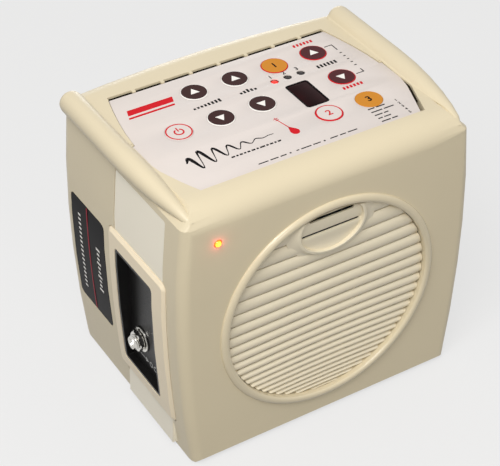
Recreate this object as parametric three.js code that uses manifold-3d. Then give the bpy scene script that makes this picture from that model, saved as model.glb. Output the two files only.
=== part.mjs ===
// Electronic tanpura: a small mains drone box with a louvred speaker, a keypad and an output socket.
// Millimetres. +X is the box's right, +Y its back, +Z up. The origin is under the middle, on the table.
import * as THREE from 'three';
import { mergeVertices } from 'three/addons/utils/BufferGeometryUtils.js';
import Module from 'manifold-3d';

const wasm = await Module();
wasm.setup();

// Case
const frontFace = 49.75;        // front face, ahead of the parting line
const rearEnds = 46.4;          // rear wall at its left and right ends, behind the parting line
const rearBow = 4;              // the rear wall bows back this much at its middle
const footStand = 0.8;          // underside of the case above the table
const bellyHeight = 70;         // the sides are widest here
const bellyHalfWidth = 65.1;
const baseDrawIn = 4.4;         // the sides draw in this much from the belly to the base
const topDrawIn = 2.7;          // and this much to the shoulder
const bowInset = 3.1;           // the bows of rear and top end this far in from the belly
const frontBandTop = 121.7;     // top of the band ahead of the keypad, at its ends
const frontBandBow = 0.6;       // the band rises this much at its middle
const landDrop = 0.5;           // lands beside and behind the keypad, below the band
const shoulderDrop = 5.7;       // below the lands, from where the sides lean in under the rails
const frontRoundDepth = 10.5;   // round from the front face to the top band
const frontRoundHeight = 8.7;
const bandWidth = 12;           // flat of the top band, front to back
const rearRound = 9;            // round from the rear wall to the top rim
const bottomRound = 1.5;
const roundSteps = 5;
const cornerSteps = 3;
const frontCornerRadius = 4.5;  // upright corners
const rearCornerRadius = 7;
const shoulderLeanShare = 1.05;
const wall = 2.6;
const partingPlane = 1.2;       // front and rear shell meet here
const partingGap = 0.3;

// Clearances
const gap = 0.3;                // between pieces that seat on or beside each other
const overrun = 5;              // cuts run past a face by this much
const bond = 0.6;               // solids that are one piece overlap by this much
const mergeTolerance = 0.0001;

const baseHalfWidth = bellyHalfWidth - baseDrawIn;
const topHalfWidth = bellyHalfWidth - topDrawIn;
const bowSpan = bellyHalfWidth - bowInset;
const sideLandTop = frontBandTop - landDrop;
const shoulderHeight = sideLandTop - shoulderDrop;

// Rails along the two top edges
const railRadius = 4.75;
const railInset = 3.8;          // the rail's centre line, in from the belly
const railDrop = 0.85;          // and below the lands
const railBackInset = 4.7;      // the rail's ends, in from the rear wall and the front face
const railFrontInset = 1.75;
const railCentre = bellyHalfWidth - railInset;
const railHeight = sideLandTop - railDrop;
const railBack = rearEnds - railBackInset;
const railFront = frontFace - railFrontInset;
const railSides = 14;
// y as a share of railFront or railBack, inward shift, drop and radius as shares of railRadius
const railPathShares = [
  [1.0, 0, 0, 0.42], [0.982, 0, 0, 0.76], [0.955, 0, 0, 0.95], [0.92, 0, 0, 1], [0.5, 0, 0, 1], [0, 0, 0, 1],
  [-0.22, 0.06, 0.03, 1], [-0.43, 0.16, 0.1, 0.93], [-0.63, 0.28, 0.2, 0.78], [-0.8, 0.43, 0.28, 0.58],
  [-0.92, 0.57, 0.44, 0.42], [-1.0, 0.73, 0.7, 0.2],
];

// Keypad
const keypadSunk = 0.35;        // top of the film below the lands
const keypadSideInset = 9.5;    // edges of the film, in from the belly, the rear wall and the front face
const keypadRearInset = 14.9;
const keypadFrontInset = 12.85;
const keypadTop = sideLandTop - keypadSunk;
const keypadHalfWidth = bellyHalfWidth - keypadSideInset;
const keypadRear = rearEnds - keypadRearInset;
const keypadFront = frontFace - keypadFrontInset;
const filmThickness = 0.6;
const plateThickness = 2;
const ledgeThickness = 2;
const ledgeReach = 2.5;         // the ledge under the plate reaches in this far
const skirtWall = 2;
const frontSlit = 1.2;          // open slit between film and case at the right front corner
// Right-hand edge of the film from back to front, as shares of its half width and half depth
const filmEdgeShares = [
  [0.881, 1], [0.915, 0.781], [0.946, 0.547], [0.969, 0.313], [0.982, 0.08], [1, 0.08],
  [1, -0.287], [0.978, -0.477], [0.915, -0.769], [0.863, -1],
];
const slitStartShare = -0.287;

// Keys and lights on the keypad
const keyRadius = 5.25;
const keyProud = 0.15;
const keyTravel = 0.5;
const keyClearance = 0.25;
const keyFlange = 0.75;         // flange beyond the cap
const keyFlangeThickness = 0.6;
const keyStemRadius = 1.6;
const keyStemDepth = 2.75;      // stem below the flange
const outerColumnInset = 19.2;  // outer columns of keys, in from the film's edge
const columnPitch = (keypadHalfWidth - outerColumnInset) / 2;
const rearRow = 20;
const middleRow = -0.5;
const frontRow = -19;
const keySides = 20;
const windowWidth = 9;
const windowLength = 16;
const windowOffset = 0.15;      // middle of the window, right of the fourth column of keys
const windowCentreX = columnPitch + windowOffset;
const windowCentreY = -3.55;
const windowCorner = 1.2;
const lightRadius = 1.45;
const lightRow = 10.4;
const lightPitch = 6.05;
const lightSunk = 0.2;

// Keypad board
const boardThickness = 1.6;
const plateStandoff = 4;
const keypadBoardInset = 9.6;   // the board's sides, in from the film's edge
const keypadBoardHalfWidth = keypadHalfWidth - keypadBoardInset;
const keypadBoardHalfDepth = 28;
const plateStandoffX = columnPitch * 3 / 2;
const plateStandoffY = 24;
const standoffRadius = 2.5;
const screwRadius = 1.2;
const screwHeadRadius = 2.2;
const stakeHeadHeight = 0.9;    // posts are spread over the boards by heat
const screwHeadHeight = 1.4;
const screwSides = 10;
const pegSides = 12;
const roundSides = 20;
const switchWidth = 6;
const switchHeight = 3.5;
const switchBoreDepth = 1.9;
const displayWidth = 12.4;
const displayLength = 16.8;

// Vents behind the keypad
const ventDepth = 1.5;
const ventRibPitch = 12.6;
const ventRibWidth = 1.4;
const ventRibCount = 7;

// Speaker basket and the grille in front of it
const speakerBelow = 7.5;       // lowest point of the basket above the table
const speakerAbove = 13.2;      // highest point of the basket below the front band
const ringOuterInset = 2.2;     // ring round the grille, in from the basket's edge
const ringInnerInset = 5.5;
const basketRadius = (frontBandTop - speakerAbove - speakerBelow) / 2;
const grilleHeight = speakerBelow + basketRadius;
const ringOuter = basketRadius - ringOuterInset;
const ringInner = basketRadius - ringInnerInset;
const ringProud = 1.5;
const ringSegments = 56;
const grilleRimWidth = 1.6;
const grilleDepth = 2.6;
const grilleSunk = 0.35;        // grille behind the crest of the ring's inner edge
const slatTopRise = 41.35;      // highest full gap between louvres, above the grille's centre
const slatRatioShare = 0.9405;  // each louvre is this much of the one above
const slatVanishDrop = 76.2;    // the gaps close in towards a line this far below the centre
const slatCount = 21;
const slatGap = 0.75;
const slatBulge = 1.2;
const ovalHalfWidth = 15.2;
const ovalHalfHeight = 11.6;
const ovalRise = 36.8;          // centre of the oval above the grille's centre
const ovalRim = 1.5;
const ovalFloorSunk = 1.1;
const slitHeight = 1;
const slitLength = 24.4;
const slitDrop = 1.4;           // middle of the slit below the oval's centre
const ovalSegments = 40;
const ovalFlare = 2.6;          // the oval rim flares out this far to the louvres

// Power light in the front face
const powerLightInset = 16.3;   // in from the belly
const powerLightDrop = 15.2;    // and below the front band
const powerLightLength = 7;
const powerLightFlange = 0.45;
const powerLightProud = 1;

// Socket pocket, panel and label on the left side
const bezelFrontInset = 10.95;  // front edge of the frame, back from the front face
const bezelBackReach = 4.2;     // back edge of the frame, behind the parting line
const bezelBottom = 15.5;
const bezelTop = 85.5;
const bezelProud = 1.1;
const bezelSeat = 0.4;
const bezelSlant = 1.6;
const bezelCorner = 2.5;
const bezelEdgeSpan = 9;        // the long edges are divided to follow the barrelled side
const trayFrontInset = 9.3;     // pocket's front edge, in from the frame's
const trayBackInset = 6.2;      // and its back edge
const trayBottom = 22.3;
const trayTop = 78.2;
const trayCorner = 1.6;
const trayWall = 1.2;
const trayFloorInset = 4.1;     // the pocket's floor, in from the belly
const trayFloorThickness = 1.5;
const trayRimSunk = 0.2;
const panelFrontInset = 2.5;    // panel's front edge, back from the frame's
const panelBottom = 2.2;
const panelTopDrop = 2.9;       // panel's top edge, below the shoulder
const panelSunk = 0.15;
const panelThickness = 1.2;
const panelCorner = 0.8;
const panelLipProud = 1.6;      // the panel's lower edge stands out past the side
const labelFront = 10.5;
const labelBackInset = 8.1;     // label's back edge, in from the rear wall
const labelBottom = 28.5;
const labelTop = 80.5;
const labelThickness = 0.4;
const labelCorner = 2.2;

// Output socket
const jackY = -10.5;
const jackHeight = 37.3;
const jackProud = 5.2;          // bushing above the pocket's floor
const jackRadius = 3;
const jackBore = 1.8;
const jackNutRadius = 4.6;
const jackNutHeight = 2;
const nutSides = 6;
const jackWasherRadius = 5.4;
const jackWasherThickness = 0.6;
const jackBodyLength = 12;
const jackBodyHalfWidth = 4.5;
const jackBodyHalfHeight = 4;
const jackBoreDepth = 9;

// Speaker
const basketFlange = 1.5;
const basketOpeningInset = 10.2; // in from the basket's edge, as the next ones
const basketWall = 1.1;
const basketDepth = 22.75;
const basketNeck = 28.2;
const basketEye = 15;
const basketSegments = 32;
const basketWindowCount = 4;
const basketWindowWidth = 17;
const speakerSeatRise = 1.8;     // ring behind the front wall that the basket is screwed to
const speakerSeatInset = 5.2;
const speakerScrewInset = 2.9;
const speakerScrewCount = 4;
const speakerScrewReach = 2.4;
const coneSunk = 2.05;           // lip of the cone behind the front of the basket
const coneSlopeShare = 1.3;      // a sloping wall is this much longer along the axis than it is thick
const coneInset = 16;
const coneLip = 1.5;
const coneNeck = 10.6;
const coneDepth = 15.5;
const coneThickness = 0.8;
const coneTravel = 1;
const surroundInset = 6.3;
const surroundRollInset = 0.1;   // in from the basket's opening
const surroundHeight = 1.6;
const surroundThickness = 0.5;
const spiderInset = 1.5;         // in from the basket's neck
const spiderThickness = 0.5;
const spiderWave = 0.6;
const spiderFolds = 4;
const dustCapRadius = 13;
const dustCapHeight = 3.8;
const coilFormerRadius = 10.3;
const coilFormerWall = 0.5;
const coilRadius = 10.8;
const coilLength = 4.4;
const formerLength = 11;
const polePlateBore = 11.2;
const polePlateRadius = 27;
const polePlateThickness = 3;
const magnetRadius = 29;
const magnetBore = 16;
const magnetThickness = 8;
const poleRadius = 9.2;
const terminalWidth = 12;
const terminalHeight = 4;
const terminalThickness = 2.2;

// Screw posts that hold the shells together
const postInset = 10.1;         // in from the belly
const lowerPostHeight = 16;
const upperPostDrop = 14.5;     // below the shoulder
const postRadius = 3.6;
const sleeveRadius = 4.6;
const postLength = 15;
const postRibThickness = 2.4;
const caseScrewRadius = 1.4;
const caseScrewHeadRadius = 2.8;
const caseScrewHeadHeight = 2;
const counterboreDepth = 34;
const caseScrewReach = 11;

// Feet
const footRadius = 5;
const footThickness = 2;
const footSideInset = 17.1;     // in from the belly, the front face and the rear wall
const footFrontInset = 13.75;
const footRearInset = 12.4;
const footSides = 20;

// Mains inlet in the rear wall
const inletX = -28;
const inletHeight = 22;
const inletFlangeWidth = 23;
const inletFlangeHeight = 14;
const inletFlangeThickness = 0.9;
const inletWidth = 20;
const inletBodyHeight = 11;
const inletLength = 14;
const inletSunk = 1.3;          // its seat, in from the rear wall
const inletMouthRadius = 3.6;
const inletPinSpread = 4.3;
const inletMouthDepth = 9;
const inletPinRadius = 1.2;
const inletPinLength = 6.6;

// Power board on the floor of the rear shell
const powerBoardHalfWidth = 46;
const powerBoardFront = 5;
const powerBoardRear = 32;
const powerBoardHeight = 8;
const powerStandoffX = 42;
const powerStandoffInset = 3.5;
const transformerWidth = 24;
const transformerDepth = 18;
const transformerHeight = 20;
const transformerX = -24;
const bobbinFlange = 1.5;
const capacitorRadius = 6.5;
const capacitorHeight = 20;
const capacitorX = 2;
const heatSinkX = 26;
const heatSinkWidth = 22;
const heatSinkHeight = 18;
const heatSinkBase = 2;
const heatSinkFinDepth = 6;
const heatSinkFinCount = 5;
const chipWidth = 14;
const chipHeight = 11;
const chipThickness = 3.6;
const partsRowY = 20;

// Leads
const ribbonHalfWidth = 6;
const ribbonThickness = 0.7;
const ribbonX = 2;
const ribbonRow = 8;
const ribbonSwing = 4;
const ribbonSteps = 12;
const leadRadius = 0.9;
const leadSides = 6;
const leadSteps = 8;
const leadSpread = 0.6;         // half the distance between the two cores of a twin lead
const leadRun = 8;
const leadRise = 3;
const jackPadX = -33;
const speakerPadX = 16;
const mainsPadRow = 30.5;

// Places that follow the values above
const ovalHeight = grilleHeight + ovalRise;
const powerLightX = powerLightInset - bellyHalfWidth;
const powerLightHeight = frontBandTop - powerLightDrop;
const bezelFront = frontFace - bezelFrontInset;
const bezelBack = partingPlane + bezelBackReach;
const trayFront = bezelFront - trayFrontInset;
const trayBack = bezelBack - trayBackInset;
const trayFloorX = bellyHalfWidth - trayFloorInset;
const panelFront = bezelFront - panelFrontInset;
const panelTop = shoulderHeight - panelTopDrop;
const labelBack = rearEnds - labelBackInset;
const basketOpening = basketRadius - basketOpeningInset;
const speakerSeatInner = basketRadius - speakerSeatInset;
const speakerScrewCircle = basketRadius - speakerScrewInset;
const coneRadius = basketRadius - coneInset;
const surroundInner = coneRadius + gap;
const surroundOuter = basketRadius - surroundInset;
const surroundRoll = basketOpening - surroundRollInset;
const spiderOuter = basketNeck - spiderInset;
const postX = bellyHalfWidth - postInset;
const upperPostHeight = shoulderHeight - upperPostDrop;
const footX = bellyHalfWidth - footSideInset;
const footFrontY = footFrontInset - frontFace;
const footRearY = rearEnds - footRearInset;
const centring = (frontFace + ringProud - rearEnds - rearBow) / 2;

// A closed mesh as a solid that can be cut and joined
function solid(geometry) {
  const bare = geometry.clone();
  bare.deleteAttribute('normal');
  bare.deleteAttribute('uv');
  const merged = mergeVertices(bare, mergeTolerance);
  const corners = merged.index.array;
  const triangles = [];
  for (let i = 0; i < corners.length; i += 3) {
    const [a, b, c] = [corners[i], corners[i + 1], corners[i + 2]];
    if (a !== b && b !== c && c !== a) triangles.push(a, b, c);
  }
  const vertProperties = Float32Array.from(merged.attributes.position.array);
  const triVerts = Uint32Array.from(triangles);
  return new wasm.Manifold(new wasm.Mesh({ numProp: 3, vertProperties, triVerts }));
}

function geometryOf(form) {
  const mesh = form.getMesh();
  const geometry = new THREE.BufferGeometry();
  geometry.setAttribute('position', new THREE.BufferAttribute(mesh.vertProperties, 3));
  geometry.setIndex(new THREE.BufferAttribute(mesh.triVerts, 1));
  geometry.computeVertexNormals();
  return geometry;
}

function facingOut(geometry) {
  const form = solid(geometry);
  if (form.volume() > 0) return form;
  const index = geometry.index.array;
  for (let i = 0; i < index.length; i += 3) [index[i + 1], index[i + 2]] = [index[i + 2], index[i + 1]];
  return solid(geometry);
}

function joined(forms) {
  return forms.reduce((whole, form) => whole.add(form));
}

function cut(form, cutters) {
  return cutters.reduce((rest, cutter) => rest.subtract(cutter), form);
}

function block([x0, x1], [y0, y1], [z0, z1]) {
  const box = new THREE.BoxGeometry(x1 - x0, y1 - y0, z1 - z0);
  return solid(box.translate((x0 + x1) / 2, (y0 + y1) / 2, (z0 + z1) / 2));
}

// Turns a geometry made along +Y so that it runs along the named axis
function alongAxis(geometry, axis) {
  if (axis === 'z') return geometry.rotateX(Math.PI / 2);
  if (axis === 'x') return geometry.rotateZ(-Math.PI / 2);
  return geometry;
}

// A round rod along an axis, between two places measured along it from the point given
function rod(radius, axis, [from, to], [x, y, z], sides = screwSides) {
  const geometry = new THREE.CylinderGeometry(radius, radius, to - from, sides);
  geometry.translate(0, (from + to) / 2, 0);
  return solid(alongAxis(geometry, axis).translate(x, y, z));
}

// A turned piece: its profile is a list of [radius, place on the axis]
function turned(profile, axis, [x, y, z], segments) {
  const points = profile.map(([radius, place]) => new THREE.Vector2(radius, place));
  if (profile[0][0] > 0) points.push(points[0].clone());
  const lathe = alongAxis(new THREE.LatheGeometry(points, segments), axis);
  return facingOut(lathe.translate(x, y, z));
}

// An outline pushed along Z, along -Y (drawn in X and Z) or along X (drawn in Y and Z)
function prism(outline, plane, [from, to]) {
  const shape = new THREE.Shape(outline.map(([u, v]) => new THREE.Vector2(u, v)));
  const extruded = new THREE.ExtrudeGeometry(shape, { depth: to - from, bevelEnabled: false });
  const right = new THREE.Vector3(1, 0, 0);
  const back = new THREE.Vector3(0, 1, 0);
  const up = new THREE.Vector3(0, 0, 1);
  const turn = new THREE.Matrix4();
  if (plane === 'front') turn.makeBasis(right, up, back.clone().negate());
  if (plane === 'side') turn.makeBasis(back, up, right);
  const start = plane === 'front' ? -to : from;
  return solid(extruded.translate(0, 0, start).applyMatrix4(turn));
}

function arc([u, v], [ru, rv], fromQuarter, steps) {
  return Array.from({ length: steps + 1 }, (_, i) => {
    const angle = (fromQuarter + i / steps) * Math.PI / 2;
    return [u + ru * Math.cos(angle), v + rv * Math.sin(angle)];
  });
}

function roundedOutline([u0, u1], [v0, v1], radius, steps = cornerSteps) {
  const round = [radius, radius];
  return [
    ...arc([u1 - radius, v0 + radius], round, 3, steps), ...arc([u1 - radius, v1 - radius], round, 0, steps),
    ...arc([u0 + radius, v1 - radius], round, 1, steps), ...arc([u0 + radius, v0 + radius], round, 2, steps),
  ];
}

function ovalOutline([u, v], [ru, rv], segments) {
  return Array.from({ length: segments }, (_, i) => {
    const angle = i / segments * Math.PI * 2;
    return [u + ru * Math.cos(angle), v + rv * Math.sin(angle)];
  });
}

// Divides the long edges of an outline
function divided(outline, longest) {
  return outline.flatMap(([u, v], i) => {
    const [nextU, nextV] = outline[(i + 1) % outline.length];
    const count = Math.max(Math.ceil(Math.hypot(nextU - u, nextV - v) / longest), 1);
    return Array.from({ length: count }, (_, k) => [u + (nextU - u) * k / count, v + (nextV - v) * k / count]);
  });
}

// Moves every edge of an anticlockwise outline outwards by the same distance
function grown(outline, distance) {
  const count = outline.length;
  return outline.map(([u, v], i) => {
    const before = outline[(i + count - 1) % count];
    const after = outline[(i + 1) % count];
    const a = new THREE.Vector2(v - before[1], before[0] - u).normalize();
    const b = new THREE.Vector2(after[1] - v, u - after[0]).normalize();
    const mitre = a.clone().add(b).divideScalar(1 + a.dot(b)).multiplyScalar(distance);
    return [u + mitre.x, v + mitre.y];
  });
}

// A skin over rings of points that all have the same count, closed by a fan at each end
function loft(rings) {
  const count = rings[0].length;
  const positions = rings.flat().flatMap((point) => point.toArray());
  const index = [];
  for (let ring = 0; ring < rings.length - 1; ring += 1) {
    for (let i = 0; i < count; i += 1) {
      const a = ring * count + i;
      const b = ring * count + (i + 1) % count;
      index.push(a, b, b + count, a, b + count, a + count);
    }
  }
  for (const [ring, outward] of [[0, false], [rings.length - 1, true]]) {
    const middle = new THREE.Vector3();
    rings[ring].forEach((point) => middle.addScaledVector(point, 1 / count));
    const hub = positions.length / 3;
    positions.push(...middle.toArray());
    for (let i = 0; i < count; i += 1) {
      const a = ring * count + i;
      const b = ring * count + (i + 1) % count;
      index.push(...(outward ? [a, b, hub] : [b, a, hub]));
    }
  }
  const geometry = new THREE.BufferGeometry();
  geometry.setAttribute('position', new THREE.Float32BufferAttribute(positions, 3));
  geometry.setIndex(index);
  return facingOut(geometry);
}

// Body of the case: barrelled sides, bowed rear wall, rounded edges. Inset by the wall it is the hollow.
const bowStationShares = [-1, -0.7, -0.35, 0, 0.35, 0.7, 1];
const lowerStationShares = [0, 0.35, 0.7, 1];
const upperStationShares = [0.5, 1];

function bowAt(x) {
  const place = Math.min(Math.abs(x) / bowSpan, 1);
  const stations = bowStationShares.filter((share) => share >= 0);
  const next = Math.max(stations.findIndex((share) => share >= place), 1);
  const [low, high] = [stations[next - 1], stations[next]];
  const along = (place - low) / (high - low);
  return (1 - low * low) * (1 - along) + (1 - high * high) * along;
}

function sideAt(height) {
  const below = height < bellyHeight;
  const span = below ? bellyHeight : shoulderHeight - bellyHeight;
  const narrow = below ? baseHalfWidth : topHalfWidth;
  const barrel = bellyHalfWidth - (bellyHalfWidth - narrow) * Math.min(((height - bellyHeight) / span) ** 2, 1);
  return barrel - Math.max(height - shoulderHeight, 0) * shoulderLeanShare;
}

function rearAt(x) {
  return rearEnds + rearBow * bowAt(x);
}

const inletSeatY = rearAt(inletX) - inletSunk;

function planRing(height, inset) {
  const half = sideAt(height) - inset;
  const front = -frontFace + inset;
  const frontRadius = frontCornerRadius - inset;
  const rearRadius = rearCornerRadius - inset;
  const rearX = half - rearRadius;
  const rearY = rearAt(rearX) - inset - rearRadius;
  const crown = bowStationShares.slice(1, -1).reverse().map((share) => share * bowSpan);
  const outline = [
    ...arc([-half + frontRadius, front + frontRadius], [frontRadius, frontRadius], 2, roundSteps),
    ...arc([half - frontRadius, front + frontRadius], [frontRadius, frontRadius], 3, roundSteps),
    ...arc([rearX, rearY], [rearRadius, rearRadius], 0, cornerSteps),
    ...crown.map((x) => [x, rearAt(x) - inset]),
    ...arc([-rearX, rearY], [rearRadius, rearRadius], 1, cornerSteps),
  ];
  return outline.map(([x, y]) => new THREE.Vector3(x, y, height));
}

function sideRing(x, inset) {
  const bow = bowAt(x);
  const bottom = footStand + inset;
  const front = -frontFace + inset;
  const bandTop = frontBandTop + frontBandBow * bow - inset;
  const landTop = sideLandTop - inset;
  const rear = rearAt(x) - inset;
  const [deep, tall] = [frontRoundDepth - inset, frontRoundHeight - inset];
  const round = rearRound - inset;
  const outline = [
    [front, bottom + bottomRound],
    ...arc([front + deep, bandTop - tall], [-deep, tall], 0, roundSteps),
    [-frontFace + frontRoundDepth + bandWidth, landTop],
    ...arc([rear - round, landTop - round], [-round, round], 1, roundSteps),
    [rear, bottom + bottomRound], [rear - bottomRound, bottom], [front + bottomRound, bottom],
  ];
  return outline.map(([y, z]) => new THREE.Vector3(x, y, z));
}

const bodyForms = new Map();
function bodyForm(inset) {
  if (!bodyForms.has(inset)) {
    const heights = [
      -overrun, ...lowerStationShares.map((share) => share * bellyHeight),
      ...upperStationShares.map((share) => bellyHeight + share * (shoulderHeight - bellyHeight)),
      keypadTop + overrun,
    ];
    const ends = bellyHalfWidth + overrun;
    const stations = [-ends, ...bowStationShares.map((share) => share * bowSpan), ends];
    const plan = loft(heights.map((height) => planRing(height, inset)));
    bodyForms.set(inset, plan.intersect(loft(stations.map((x) => sideRing(x, inset)))));
  }
  return bodyForms.get(inset);
}

// A layer that follows the left side of the case, from one depth under its surface to another
function leftLayer(outline, from, to) {
  const reach = [-bellyHalfWidth - overrun, -baseHalfWidth + wall + overrun];
  return prism(outline, 'side', reach).intersect(bodyForm(from)).subtract(bodyForm(to));
}

function leftPocket(outline, depth) {
  const reach = [-bellyHalfWidth - overrun, -baseHalfWidth + wall + overrun];
  return prism(outline, 'side', reach).subtract(bodyForm(depth));
}

function rail(side) {
  return loft(railPathShares.map(([along, inward, drop, size]) => {
    const y = along * (along > 0 ? railBack : railFront);
    const centre = [side * (railCentre - inward * railRadius), railHeight - drop * railRadius];
    const ring = ovalOutline(centre, [size * railRadius, size * railRadius], railSides);
    return ring.map(([x, z]) => new THREE.Vector3(x, y, z));
  }));
}

// Heights of the layers of the keypad, from the film down
const filmBottom = keypadTop - filmThickness;
const plateTop = filmBottom - gap;
const plateBottom = plateTop - plateThickness;
const ledgeTop = plateBottom - gap;
const boardTop = plateBottom - plateStandoff;
const boardBottom = boardTop - boardThickness;

const keypadMiddle = (keypadRear - keypadFront) / 2;
const keypadHalfDepth = (keypadRear + keypadFront) / 2;

function keypadOutline(slit) {
  const edge = (open) => filmEdgeShares.map(([x, y]) => [
    x * keypadHalfWidth + (y < slitStartShare ? open : 0), keypadMiddle + y * keypadHalfDepth]);
  return [...edge(slit).reverse(), ...edge(0).map(([x, y]) => [-x, y])];
}

const filmOutline = keypadOutline(0);
const recessOutline = grown(keypadOutline(frontSlit), gap);
const topOpen = [ledgeTop, keypadTop + overrun];

const keyPlaces = {
  key_power: [-2 * columnPitch, middleRow],
  key_volume_up: [-columnPitch, rearRow],
  key_volume_down: [-columnPitch, middleRow],
  key_tone_up: [0, rearRow],
  key_tone_down: [0, middleRow],
  key_note: [columnPitch, rearRow],
  key_pitch_up: [2 * columnPitch, rearRow],
  key_pitch_down: [2 * columnPitch, middleRow],
  key_memory: [columnPitch, frontRow],
  key_mode: [2 * columnPitch, frontRow],
};
const lightPlaces = [-1, 0, 1].map((i) => [windowCentreX + i * lightPitch, lightRow]);
const windowOutline = roundedOutline(
  [windowCentreX - windowWidth / 2, windowCentreX + windowWidth / 2],
  [windowCentreY - windowLength / 2, windowCentreY + windowLength / 2], windowCorner);
const standoffPlaces = [-1, 1].flatMap((i) => [-1, 1].map((j) => [i * plateStandoffX, j * plateStandoffY]));

// Outlines on the left side, drawn from back to front and upwards
const bezelOutline = divided(
  roundedOutline([-bezelFront, bezelBack], [bezelBottom, bezelTop], bezelCorner), bezelEdgeSpan);
const trayOutline = roundedOutline([-trayFront, trayBack], [trayBottom, trayTop], trayCorner);
const frontShellEnd = partingPlane - partingGap / 2;
const rearShellStart = partingPlane + partingGap / 2;
const panelOutline = roundedOutline([-panelFront, frontShellEnd], [panelBottom, panelTop], panelCorner);
const labelOutline = roundedOutline([labelFront, labelBack], [labelBottom, labelTop], labelCorner);

const innerFront = -frontFace + wall;
const grilleCentre = [0, 0, grilleHeight];
const diagonals = Array.from(
  { length: speakerScrewCount }, (_, i) => (i + 0.5) / speakerScrewCount * Math.PI * 2);
const speakerScrewPlaces = diagonals.map((angle) => [
  speakerScrewCircle * Math.cos(angle), 0, grilleHeight + speakerScrewCircle * Math.sin(angle)]);
const postPlaces = [-1, 1].flatMap((side) => (
  [lowerPostHeight, upperPostHeight].map((z) => [side * postX, 0, z])));
const footPlaces = [-1, 1].flatMap((side) => [footFrontY, footRearY].map((y) => [side * footX, y, 0]));
const floorTop = footStand + wall;
const powerStandoffPlaces = [-1, 1].flatMap((side) => [
  [side * powerStandoffX, powerBoardFront + powerStandoffInset, 0],
  [side * powerStandoffX, powerBoardRear - powerStandoffInset, 0]]);

const ringProfileShares = [[0, -0.35], [0.18, -0.9], [0.48, -1], [0.8, -0.62], [1, 0]];

function frontRing() {
  const width = ringOuter - ringInner;
  const crest = ringProfileShares.map(([out, rise]) => (
    [ringInner + out * width, -frontFace + rise * ringProud]));
  const foot = [[ringOuter, -frontFace + bond], [ringInner, -frontFace + bond]];
  return turned([...crest, ...foot], 'y', grilleCentre, ringSegments);
}

// Both shells as one body, before it is parted
function wholeCase() {
  const ledgeBottom = ledgeTop - ledgeThickness;
  const skirt = prism(grown(recessOutline, skirtWall), 'top', [ledgeBottom, keypadTop + overrun]);
  const ventFront = keypadRear + gap;
  const ventEnds = filmEdgeShares[0][0] * keypadHalfWidth;
  const rearSkirt = block(
    [-ventEnds - skirtWall, ventEnds + skirtWall],
    [ventFront, ventFront + ventDepth + skirtWall], [ledgeBottom, keypadTop]);
  const ventWalls = Array.from(
    { length: ventRibCount }, (_, i) => (i - (ventRibCount - 1) / 2) * ventRibPitch);
  const ventSlots = [-ventEnds - ventRibWidth / 2, ...ventWalls].map((x, i) => block(
    [x + ventRibWidth / 2, (ventWalls[i] ?? ventEnds + ventRibWidth / 2) - ventRibWidth / 2],
    [keypadRear, ventFront + ventDepth], [ledgeBottom - overrun, keypadTop + overrun]));
  const shell = bodyForm(0).subtract(bodyForm(wall));
  const whole = joined([shell, skirt.add(rearSkirt).intersect(bodyForm(0)), rail(-1), rail(1), frontRing()]);
  return cut(whole, [
    prism(recessOutline, 'top', topOpen),
    prism(grown(filmOutline, -ledgeReach), 'top', [ledgeBottom - overrun, ledgeTop + bond]),
    ...ventSlots,
    rod(ringInner, 'y', [-frontFace - overrun, innerFront + bond], grilleCentre, ringSegments),
    leftPocket(grown(bezelOutline, gap), bezelSeat + gap),
    prism(grown(trayOutline, gap), 'side', [-bellyHalfWidth - overrun, -trayFloorX + overrun]),
    ...footPlaces.map((place) => rod(footRadius + gap, 'z', [-overrun, footThickness + gap], place, footSides)),
  ]);
}

function postRib([x, , z], [from, to]) {
  const side = Math.sign(x);
  const reach = [side * (Math.abs(x) + postRadius - bond), side * (sideAt(z) - wall + bond)];
  return block(reach.sort((a, b) => a - b), [from, to], [z - postRibThickness / 2, z + postRibThickness / 2]);
}

function frontShell(whole) {
  const front = whole.intersect(block(
    [-bellyHalfWidth * 2, bellyHalfWidth * 2], [-frontFace * 2, frontShellEnd],
    [-overrun, keypadTop + overrun * 2]));
  const postEnd = frontShellEnd - postLength;
  const posts = postPlaces.flatMap((place) => [
    rod(postRadius, 'y', [postEnd, frontShellEnd], place, footSides),
    postRib(place, [postEnd, frontShellEnd])]);
  const seat = turned([
    [speakerSeatInner, innerFront - bond], [basketRadius, innerFront - bond],
    [basketRadius, innerFront + speakerSeatRise], [speakerSeatInner, innerFront + speakerSeatRise],
  ], 'y', grilleCentre, basketSegments);
  return cut(joined([front, seat, ...posts]), [
    ...postPlaces.map((place) => rod(
      caseScrewRadius + gap, 'y', [frontShellEnd - caseScrewReach - gap, frontShellEnd + overrun], place)),
    ...speakerScrewPlaces.map((place) => rod(
      screwRadius + gap, 'y', [innerFront - speakerScrewReach, innerFront + overrun], place)),
    rod(
      lightRadius + gap, 'y', [-frontFace - overrun, innerFront + overrun],
      [powerLightX, 0, powerLightHeight], pegSides),
    leftPocket(grown(panelOutline, gap), panelSunk + panelThickness + gap),
  ]);
}

const rearSeat = rearAt(postX) - counterboreDepth;

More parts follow.
